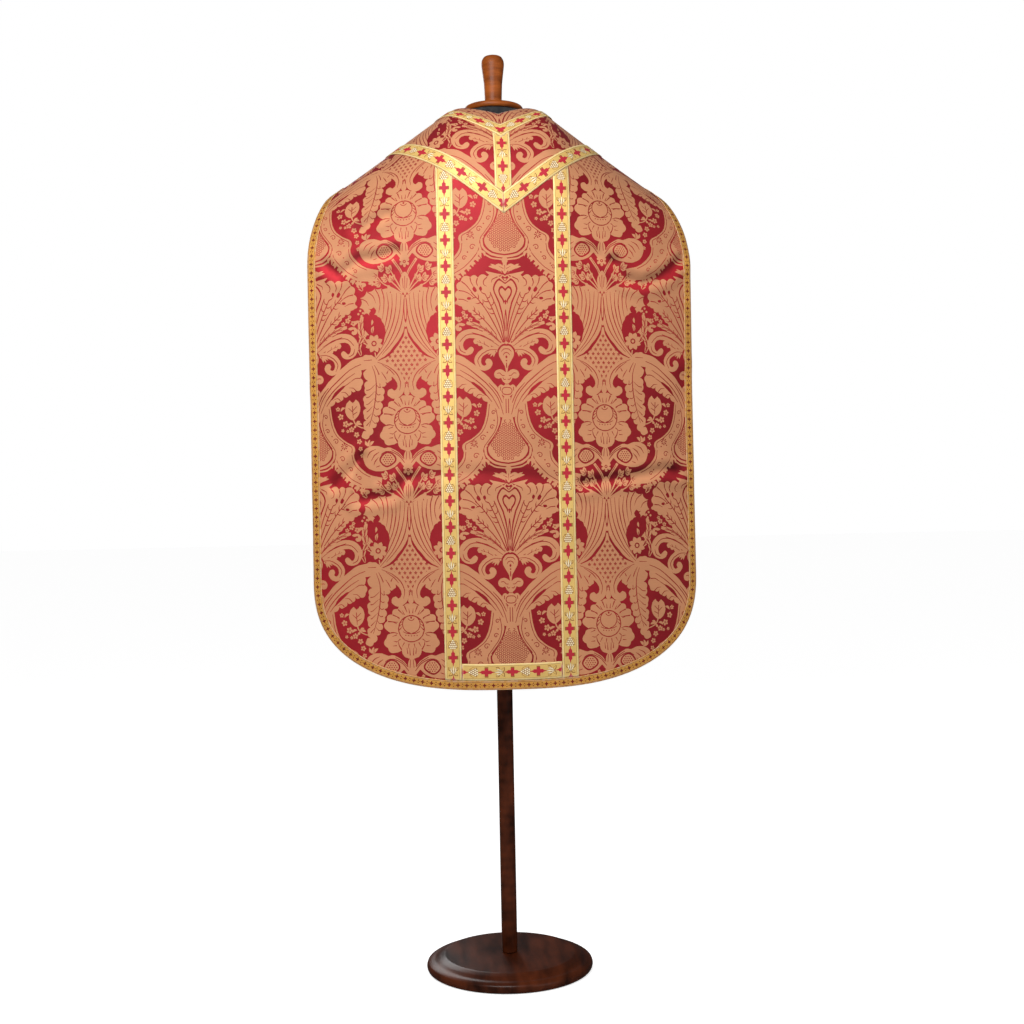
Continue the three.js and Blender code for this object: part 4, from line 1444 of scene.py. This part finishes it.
def galloon_figure(low, high, wide):
    """Crosses with grapes and ears in turn between them, and two plain edges."""
    chart = Chart()
    half = wide / 2
    inner = half - 3.2
    for way in (-1, 1):
        for value, start, end in ((BROWN, inner - 0.6, inner), (EDGE, inner, half + 1)):
            chart.add([(low, way * start), (high, way * start), (high, way * end), (low, way * end)], value)
    for k in range(math.floor(low / MOTIF_STEP), math.ceil(high / MOTIF_STEP) + 1):
        draw = draw_cross if k % 2 == 0 else draw_grapes if k % 4 == 1 else draw_ears
        draw(chart, k * MOTIF_STEP, wide / WIDE)
    return Figure(chart.shapes, 0.05)


def edging_figure(low, high):
    """Small crosses and dots in a row, between two thin lines."""
    chart = Chart()
    for way in (-1, 1):
        line = [(low, way * 5.6), (high, way * 5.6), (high, way * 6.3), (low, way * 6.3)]
        chart.add(line, 1)
    for k in range(math.floor(low / EDGE_MOTIF_STEP), math.ceil(high / EDGE_MOTIF_STEP) + 1):
        t = k * EDGE_MOTIF_STEP
        chart.add([(t - 3.4, -1.1), (t + 3.4, -1.1), (t + 3.4, 1.1), (t - 3.4, 1.1)], 1)
        chart.add([(t - 1.1, -3.6), (t + 1.1, -3.6), (t + 1.1, 3.6), (t - 1.1, 3.6)], 1)
        for y in (-2.2, 2.2):
            chart.disc(t + 8, y, 1.1, 1, 7)
        chart.disc(t + 5.6, 0, 0.7, 1, 6)
        chart.disc(t + 10.4, 0, 0.7, 1, 6)
    return Figure(chart.shapes, 0.05)


# ---------------------------------------------------------------- the stand and the form

ROUND = 72


def finished(name, bm, finish, sharp, node):
    """Makes an object of a piece that takes the place of a CAD node."""
    bmesh.ops.recalc_face_normals(bm, faces=bm.faces)
    for face in bm.faces:
        face.smooth = True
    mesh = bpy.data.meshes.new(name)
    bm.to_mesh(mesh)
    bm.free()
    mesh.materials.append(finish)
    mesh.set_sharp_from_angle(angle=math.radians(sharp))
    piece = linked(name, mesh)
    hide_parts(node)
    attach(piece, "root")
    return piece


def turned(name, profile, finish, node):
    """A piece turned on the lathe round the z axis. The profile's places are radius and height."""
    bm = bmesh.new()
    places = [bm.verts.new((radius * MM, 0, z * MM)) for radius, z in profile]
    edges = [bm.edges.new(pair) for pair in zip(places, places[1:])]
    bmesh.ops.spin(bm, geom=places + edges, cent=(0, 0, 0), axis=(0, 0, 1), dvec=(0, 0, 0),
                   angle=2 * math.pi, steps=ROUND, use_merge=True)
    bmesh.ops.remove_doubles(bm, verts=bm.verts, dist=1e-6)
    return finished(name, bm, finish, 50, node)


def softened(profile, steps=3):
    """A profile with its corners rounded a little, its two ends on the axis kept."""
    soft = [profile[0]]
    for before, at, after in zip(profile, profile[1:], profile[2:]):
        cut = min(2.5, math.dist(before, at) / 2.2, math.dist(at, after) / 2.2)
        one = moved_towards(at, before, cut)
        other = moved_towards(at, after, cut)
        for k in range(steps + 1):
            t = k / steps
            shares = (1 - t) ** 2, 2 * t * (1 - t), t * t
            soft.append(tuple(a * shares[0] + b * shares[1] + c * shares[2]
                              for a, b, c in zip(one, at, other)))
    return soft + [profile[-1]]


def moved_towards(start, end, distance):
    part = distance / math.dist(start, end)
    return tuple(a + (b - a) * part for a, b in zip(start, end))


def base_profile():
    return [(0, 0), (BASE_RADIUS - 7, 0), (BASE_RADIUS - 2, 3), (BASE_RADIUS, 9), (BASE_RADIUS - 2, 16),
            (BASE_RADIUS - 9, 20), (BASE_RADIUS - 16, 21), (BASE_RADIUS - 24, 26),
            (BASE_RADIUS - 34, BASE_TALL), (0, BASE_TALL)]


def pole_profile():
    foot, top = BASE_TALL + SEAM, TORSO_FOOT - SEAM
    return [(0, foot), (POLE_RADIUS, foot), (POLE_RADIUS, top), (0, top)]


def cap_profile():
    top = CAP_LOW + CAP_TALL
    return [(0, CAP_LOW), (CAP_RADIUS - 3, CAP_LOW), (CAP_RADIUS - 0.6, CAP_LOW + 2.5),
            (CAP_RADIUS, CAP_LOW + CAP_TALL / 2), (CAP_RADIUS - 0.6, top - 2.5), (CAP_RADIUS - 3, top),
            (0, top)]


def finial_profile():
    foot = CAP_LOW + CAP_TALL + SEAM
    return [(0, foot), (16, foot), (16.5, foot + 20), (17.5, foot + 45), (20.5, foot + 70), (22, foot + 82),
            (21.2, foot + 90), (17, foot + 97), (9, foot + FINIAL_TALL - 0.5), (0, foot + FINIAL_TALL)]


def torso_levels():
    """Height, half width and half depth of the form, upwards."""
    shoulders = []
    for s in (260.0, 230.0, 200.0):
        flat = np.array(s)
        top = drape(flat, ridge(s), FRONT) - outward(flat, ridge(s), FRONT) * (CLOTH + SEAT)
        shoulders.append((float(top[2]), float(top[0]), SHOULDER_DEEP))
    return [
        (TORSO_FOOT, 128, 84), (TORSO_FOOT + 5, 143, 96), (TORSO_FOOT + 18, 155, 106),
        (870, 166, 114), (950, 170, 117), (1040, 158, 110), (1130, 134, 98), (1200, 132, 97),
        (1280, 148, 104), (1360, 166, 109), (1430, 178, 107), (1470, 185, 98), (1500, 190, 87),
        (1525, 195, 73), (1545, 200, 58), *shoulders,
        (1618, 103, 48), (1626, 80, 48), (1634, 65, 49), (CAP_LOW - SEAM, 55, 50)]


def torso(finish):
    """Rings drawn up from the foot, each shaped to its own level."""
    bm = bmesh.new()
    ring = bmesh.ops.create_circle(bm, segments=ROUND, radius=1.0)["verts"]
    edges = list(bm.edges)
    angles = {vertex: math.atan2(vertex.co.y, vertex.co.x) for vertex in ring}
    for number, (z, wide, deep) in enumerate(torso_levels()):
        if number:
            made = bmesh.ops.extrude_edge_only(bm, edges=edges)["geom"]
            ring = [part for part in made if isinstance(part, bmesh.types.BMVert)]
            edges = [part for part in made if isinstance(part, bmesh.types.BMEdge)
                     and part.verts[0] in ring and part.verts[1] in ring]
            angles = {vertex: math.atan2(vertex.co.y / below[1], vertex.co.x / below[0]) for vertex in ring}
        for vertex in ring:
            vertex.co = (wide * math.cos(angles[vertex]), deep * math.sin(angles[vertex]), z)
        below = (wide, deep)
    bmesh.ops.scale(bm, vec=(MM, MM, MM), verts=bm.verts)
    bmesh.ops.holes_fill(bm, edges=bm.edges, sides=ROUND)
    return finished("dress_form", bm, finish, 50, "form_torso")


# ---------------------------------------------------------------- the galloons

def flat_size(ring):
    """Width and length of a ring's box, in metres."""
    return tuple((max(values) - min(values)) * MM for values in zip(*ring))


def laid_sheet(name, ring, lines, values, place, finishes, flat=None):
    """A galloon's sheet, laid on its panel in the place of its CAD node."""
    ring = tidy_ring(ring)
    piece = figured_sheet(name + "_braid", ring, lines, values, place, LAID, LAID + BRAID, finishes,
                          *GALLOON_NET)
    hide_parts(name)
    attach(piece, "root")
    flat or flat_size(ring)
    return piece


def strip(name, outline, to_flat, side, figure, finishes):
    """A galloon whose outline is given along and across itself."""
    def place(x, y, height):
        return lay(*to_flat(x, y), side, height)

    return laid_sheet(name, outline, figure.lines, figure.values, place, finishes)


def meets_shoulder(start):
    """Where a line rising at the V's angle from the centre meets the shoulder."""
    s = 200.0
    for _ in range(40):
        s += (float(shoulder_edge(s)) - (start + V_RISE * s)) / 2
    return s, float(shoulder_edge(s))


def arm_outline(start, tall, first):
    """The right arm of a V, anticlockwise, from a little off the centre line to the shoulder."""
    low, high = meets_shoulder(start), meets_shoulder(start + tall)
    top = [(s, float(shoulder_edge(s))) for s, _ in along(low, high, 4)][1:-1]
    return (along((first, start + V_RISE * first), low, 40) + top
            + along(high, (first, start + tall + V_RISE * first), 40))


def arm_places(start, tall):
    """How places along and across a V's right arm lie on the flat cloth, and the other way round."""
    cos, sin = math.cos(V_ANGLE), math.sin(V_ANGLE)
    middle = start + tall / 2

    def to_flat(t, v):
        return t * cos - v * sin, middle + t * sin + v * cos

    def to_arm(s, q):
        return s * cos + (q - middle) * sin, (q - middle) * cos - s * sin

    return to_flat, to_arm


def v_arm(way, finishes):
    to_flat, to_arm = arm_places(V_LOW, V_TALL)

    def to_side(t, v):
        s, q = to_flat(t, v)
        return s * way, q

    ring = [to_arm(s, q) for s, q in arm_outline(V_LOW, V_TALL, SEAM / 2)]
    name = "v_galloon_" + ("right" if way > 0 else "left")
    return strip(name, ring, to_side, FRONT, galloon_figure(-20, 330, WIDE), finishes)


def neck_galloon(side, finishes):
    """A smaller V from shoulder seam to shoulder seam, its figure mirrored at the middle.

    It is woven from s and the height above the V's lower edge, so its long edges are straight there."""
    tall = NECK_WIDE / math.cos(V_ANGLE)
    to_flat, to_arm = arm_places(NECK_V_LOW, tall)
    figure = galloon_figure(-20, 260, NECK_WIDE)
    arm = np.stack(to_flat(figure.lines[..., 0], figure.lines[..., 1]), axis=-1)
    arm = clipped(arm, 0, 0.0, HALF_WIDTH)
    arm[..., 1] -= NECK_V_LOW + V_RISE * arm[..., 0]
    lines = np.concatenate([arm, arm * (-1, 1), [[(0.0, 1.0), (0.0, tall - 1)]]])
    low, high = meets_shoulder(NECK_V_LOW)[0], meets_shoulder(NECK_V_LOW + tall)[0]
    end = [(s, float(shoulder_edge(s)) - NECK_V_LOW - V_RISE * s)
           for s, _ in along((low, 0), (high, 0), 4)][1:-1]
    ring = (along((-low, 0.0), (low, 0.0), 80) + end + along((high, tall), (-high, tall), 80)
            + [(-s, h) for s, h in reversed(end)])

    def values(s, h):
        return figure.values(*to_arm(np.abs(s), NECK_V_LOW + V_RISE * np.abs(s) + h))

    def place(s, h, height):
        return lay(s, NECK_V_LOW + V_RISE * np.abs(s) + h, side, height)

    name = "neck_galloon_" + ("front" if side == FRONT else "back")
    long = 2 * low / math.cos(V_ANGLE)
    return laid_sheet(name, ring, lines, values, place, finishes, (long * MM, NECK_WIDE * MM))


def edge_top(s):
    """Top of the narrow galloon along the hem, with its gap."""
    return hem(s) + EDGE_INSET + EDGE_WIDE + 3 * SEAM


def column(way, finishes):
    def to_flat(t, v):
        return way * (COLUMN_AT + v), V_LOW - t

    inner, outer = COLUMN_AT - WIDE / 2, COLUMN_AT + WIDE / 2
    inner_top, outer_top = (V_LOW + V_RISE * s - 1.5 * SEAM for s in (inner, outer))
    low = [(s, edge_top(s)) for s, _ in along((inner, 0), (outer, 0), 6)][1:-1]
    ring = (along((inner, inner_top), (inner, edge_top(inner)), 90) + low
            + along((outer, edge_top(outer)), (outer, outer_top), 90))
    ring = [(V_LOW - q, s - COLUMN_AT) for s, q in ring]
    name = "column_galloon_" + ("right" if way > 0 else "left")
    return strip(name, ring, to_flat, FRONT, galloon_figure(-120, V_LOW - HEM_LOW, WIDE), finishes)


def bottom_galloon(finishes):
    reach, half = COLUMN_AT - WIDE / 2 - SEAM, WIDE / 2
    tops = np.vectorize(edge_top)

    def to_flat(t, v):
        return t, tops(t) + half + v

    ring = along((-reach, -half), (reach, -half), 24) + along((reach, half), (-reach, half), 24)
    return strip("bottom_galloon", ring, to_flat, FRONT, galloon_figure(-reach, reach, WIDE), finishes)


def centre_galloon(finishes):
    """The short upright between the two Vs, pointed at both ends."""
    half = WIDE / 2
    foot = V_LOW + V_TALL + 1.5 * SEAM
    head = NECK_V_LOW - 1.5 * SEAM

    def to_flat(t, v):
        return v, foot + t

    low = [(s, foot + V_RISE * abs(s)) for s in (-half, 0.0, half)]
    top = [(s, head + V_RISE * abs(s)) for s in (half, 0.0, -half)]
    ring = low + along(low[-1], top[0], 12)[1:-1] + top + along(top[-1], low[0], 12)[1:-1]
    ring = [(q - foot, s) for s, q in ring]
    return strip("centre_galloon", ring, to_flat, FRONT, galloon_figure(0, head - foot + 20, WIDE), finishes)


def edge_line(inset):
    """The outline from one shoulder end round the hem to the other, moved in by a distance."""
    half = right_outline(60)
    whole = half + [(-s, q) for s, q in half[::-1]][1:]
    line = []
    for number, (s, q) in enumerate(whole):
        s0, q0 = whole[max(0, number - 1)]
        s1, q1 = whole[min(len(whole) - 1, number + 1)]
        long = math.dist((s0, q0), (s1, q1))
        moved = (s + (q1 - q0) / long * inset, q - (s1 - s0) / long * inset)
        if number in (0, len(whole) - 1):
            moved = (moved[0], float(shoulder_edge(moved[0])))
        line.append(moved)
    return np.array(line)


def edge_galloon(side, finishes):
    """The narrow galloon that follows a panel's edge from shoulder to shoulder."""
    one, other = edge_line(EDGE_INSET), edge_line(EDGE_INSET + EDGE_WIDE)
    middle = (one + other) / 2
    way = np.concatenate([[0], np.cumsum(np.linalg.norm(np.diff(middle, axis=0), axis=1))])
    long, half = float(way[-1]), EDGE_WIDE / 2

    def to_flat(t, v):
        part = v / EDGE_WIDE + 0.5
        return tuple(np.interp(t, way, one[:, k]) * (1 - part) + np.interp(t, way, other[:, k]) * part
                     for k in (0, 1))

    cells = round(long / 9)
    ring = along((0, -half), (long, -half), cells) + along((long, half), (0, half), cells)
    name = "edge_galloon_" + ("front" if side == FRONT else "back")
    return strip(name, ring, to_flat, side, edging_figure(0, long), finishes)


# ---------------------------------------------------------------- the panels

def panel(side, figure, lines):
    """One whole piece of damask, from the shoulder seam to the hem."""
    def place(s, q, height):
        return lay(s, q, side, height)

    def values(s, q):
        return figure.values(*folded(s, q))

    name = "front_panel" if side == FRONT else "back_panel"
    ring = panel_outline(side)

    # Painted light and shade: the slope of the creases up the cloth, which the finishes turn into lighter and
    # darker colour.
    def painted_slope_light(s, q):
        return (relief(s, q + 3, side) - relief(s, q - 3, side)) / 6

    piece = figured_sheet(name + "_cloth", ring, lines, values, place, -CLOTH, 0.0, damask_finishes(),
                          *PANEL_NET, painted_slope_light)
    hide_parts(name)
    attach(piece, "root")
    flat_size(ring)
    return piece


# ---------------------------------------------------------------- camera and studio

CAMERA_TURN = math.radians(-4.78)
CAMERA_ROLL = math.radians(-1.11)
CAMERA_TALL = 0.8776
CAMERA_AWAY = 2.7
SENSOR = 36
LENS = 1400 / 1024 * SENSOR
LOOKED_AT = Vector((0, 0, 1.1))


def camera():
    """The studio's camera, a little to the left and level with the middle of the stand."""
    turn, roll_by = CAMERA_TURN, CAMERA_ROLL
    forward = Vector((-math.sin(turn), math.cos(turn), 0))
    right = Vector((math.cos(turn), math.sin(turn), 0))
    up = Vector((0, 0, 1))
    across = right * math.cos(roll_by) + up * math.sin(roll_by)
    upright = up * math.cos(roll_by) - right * math.sin(roll_by)
    data = bpy.data.cameras.new("studio_camera")
    data.sensor_width = SENSOR
    data.lens = LENS
    data.shift_x = 0.0105
    view = bpy.data.objects.new("studio_camera", data)
    place = Vector((0, 0, CAMERA_TALL)) - forward * CAMERA_AWAY
    view.matrix_world = Matrix.Translation(place) @ Matrix((across, upright, -forward)).transposed().to_4x4()
    bpy.context.scene.collection.objects.link(view)
    bpy.context.scene.camera = view


def soft_light(name, place, power, size):
    light = bpy.data.lights.new(name, "AREA")
    light.energy = power
    light.size = size
    lamp = bpy.data.objects.new(name, light)
    lamp.location = place
    lamp.rotation_euler = (LOOKED_AT - Vector(place)).to_track_quat("-Z", "Y").to_euler()
    bpy.context.scene.collection.objects.link(lamp)


def backdrop():
    """White all round for the camera, and softer light on the pieces."""
    world = bpy.data.worlds.new("studio")
    bpy.context.scene.world = world
    world.use_nodes = True
    board = Board(world.node_tree)
    rays = board.add("ShaderNodeLightPath").outputs
    lit = board.between(rays["Is Camera Ray"], 0.0, 1.0, 0.3, 1.0)
    mirrored = board.between(rays["Is Glossy Ray"], 0.0, 1.0, 1.0, 0.12)
    ground = world.node_tree.nodes["Background"]
    ground.inputs["Color"].default_value = (1, 1, 1, 1)
    board.put(ground.inputs["Strength"], board.maths("MULTIPLY", lit, mirrored))


def studio_floor():
    """A pale floor that glows a little, as a white sweep does."""
    bm = bmesh.new()
    bmesh.ops.create_grid(bm, x_segments=1, y_segments=1, size=40)
    mesh = bpy.data.meshes.new("floor")
    bm.to_mesh(mesh)
    bm.free()
    made, board, shader = new_finish("pale_floor", 0.9)
    rays = board.add("ShaderNodeLightPath").outputs
    pale = board.mix(rays["Is Glossy Ray"], tuple(chosen().floor), (0.05, 0.05, 0.05, 1))
    board.put(shader.inputs["Base Color"], pale)
    shader.inputs["Emission Color"].default_value = (1, 1, 1, 1)
    board.put(shader.inputs["Emission Strength"], board.maths("MULTIPLY", rays["Is Camera Ray"], 0.72))
    mesh.materials.append(made)
    linked("floor", mesh)


# ---------------------------------------------------------------- operators

class CHASUBLE_OT_studio(bpy.types.Operator):
    """Set up the camera, the lights and the floor"""

    bl_idname = "chasuble.studio"
    bl_label = "Studio"

    def execute(self, context):
        camera()
        bpy.context.scene.view_settings.view_transform = "Standard"
        backdrop()
        studio_floor()
        key = context.scene.chasuble.key
        soft_light("key_light", (-0.42, -1.35, 1.88), key, 1.0)
        soft_light("fill_light", (2.3, -2.4, 1.6), key * 0.38, 1.8)
        soft_light("back_light", (-0.9, 2.7, 2.0), key * 1.1, 1.6)
        return {"FINISHED"}


class CHASUBLE_OT_stand(bpy.types.Operator):
    """Turn the stand's base and pole"""

    bl_idname = "chasuble.stand"
    bl_label = "Base and Pole"

    def execute(self, context):
        wood = base_wood()
        turned("turned_base", softened(base_profile()), wood, "stand_base")
        turned("turned_pole", softened(pole_profile()), wood, "stand_pole")
        return {"FINISHED"}


class CHASUBLE_OT_form(bpy.types.Operator):
    """Draw up the dress form"""

    bl_idname = "chasuble.form"
    bl_label = "Dress Form"

    def execute(self, context):
        torso(jersey_finish())
        return {"FINISHED"}


class CHASUBLE_OT_cap(bpy.types.Operator):
    """Turn the neck cap and its finial"""

    bl_idname = "chasuble.cap"
    bl_label = "Neck Cap and Finial"

    def execute(self, context):
        wood = cap_wood()
        turned("turned_cap", softened(cap_profile()), wood, "neck_cap")
        turned("turned_finial", softened(finial_profile()), wood, "neck_finial")
        return {"FINISHED"}


class CHASUBLE_OT_panels(bpy.types.Operator):
    """Weave and drape the front and back panels"""

    bl_idname = "chasuble.panels"
    bl_label = "Damask Panels"

    def execute(self, context):
        figure = Figure(damask_chart().shapes, 1.0, CHART_TALL)
        lines = spread(figure.lines)
        panel(FRONT, figure, lines)
        panel(BACK, figure, lines)
        return {"FINISHED"}


class CHASUBLE_OT_galloons(bpy.types.Operator):
    """Lay the wide galloons: V, columns, centre, bottom and neck"""

    bl_idname = "chasuble.galloons"
    bl_label = "Wide Galloons"

    def execute(self, context):
        finishes = galloon_finishes()
        for way in (-1, 1):
            v_arm(way, finishes)
            column(way, finishes)
        bottom_galloon(finishes)
        centre_galloon(finishes)
        for side in (FRONT, BACK):
            neck_galloon(side, finishes)
        return {"FINISHED"}


class CHASUBLE_OT_edging(bpy.types.Operator):
    """Lay the narrow galloon round the panels' edges"""

    bl_idname = "chasuble.edging"
    bl_label = "Edge Galloons"

    def execute(self, context):
        for side in (FRONT, BACK):
            edge_galloon(side, edging_finishes())
        return {"FINISHED"}


OPERATORS = (CHASUBLE_OT_studio, CHASUBLE_OT_stand, CHASUBLE_OT_form, CHASUBLE_OT_cap, CHASUBLE_OT_panels,
             CHASUBLE_OT_galloons, CHASUBLE_OT_edging)


class CHASUBLE_PT_sidebar(bpy.types.Panel):
    """The chasuble's sizes, colours and pieces"""

    bl_label = "Chasuble"
    bl_idname = "CHASUBLE_PT_sidebar"
    bl_space_type = "VIEW_3D"
    bl_region_type = "UI"
    bl_category = "Chasuble"

    def draw(self, context):
        settings = context.scene.chasuble
        for name in ChasubleSettings.__annotations__:
            self.layout.prop(settings, name)
        for operator in OPERATORS:
            self.layout.operator(operator.bl_idname)


CLASSES = (ChasubleSettings, *OPERATORS, CHASUBLE_PT_sidebar)


def register():
    for made in CLASSES:
        bpy.utils.register_class(made)
    bpy.types.Scene.chasuble = PointerProperty(type=ChasubleSettings)


def unregister():
    del bpy.types.Scene.chasuble
    for made in reversed(CLASSES):
        bpy.utils.unregister_class(made)


def main():
    register()
    bpy.ops.chasuble.studio()
    bpy.ops.chasuble.stand()
    bpy.ops.chasuble.form()
    bpy.ops.chasuble.cap()
    bpy.ops.chasuble.panels()
    bpy.ops.chasuble.galloons()
    bpy.ops.chasuble.edging()


if __name__ == "__main__":
    main()
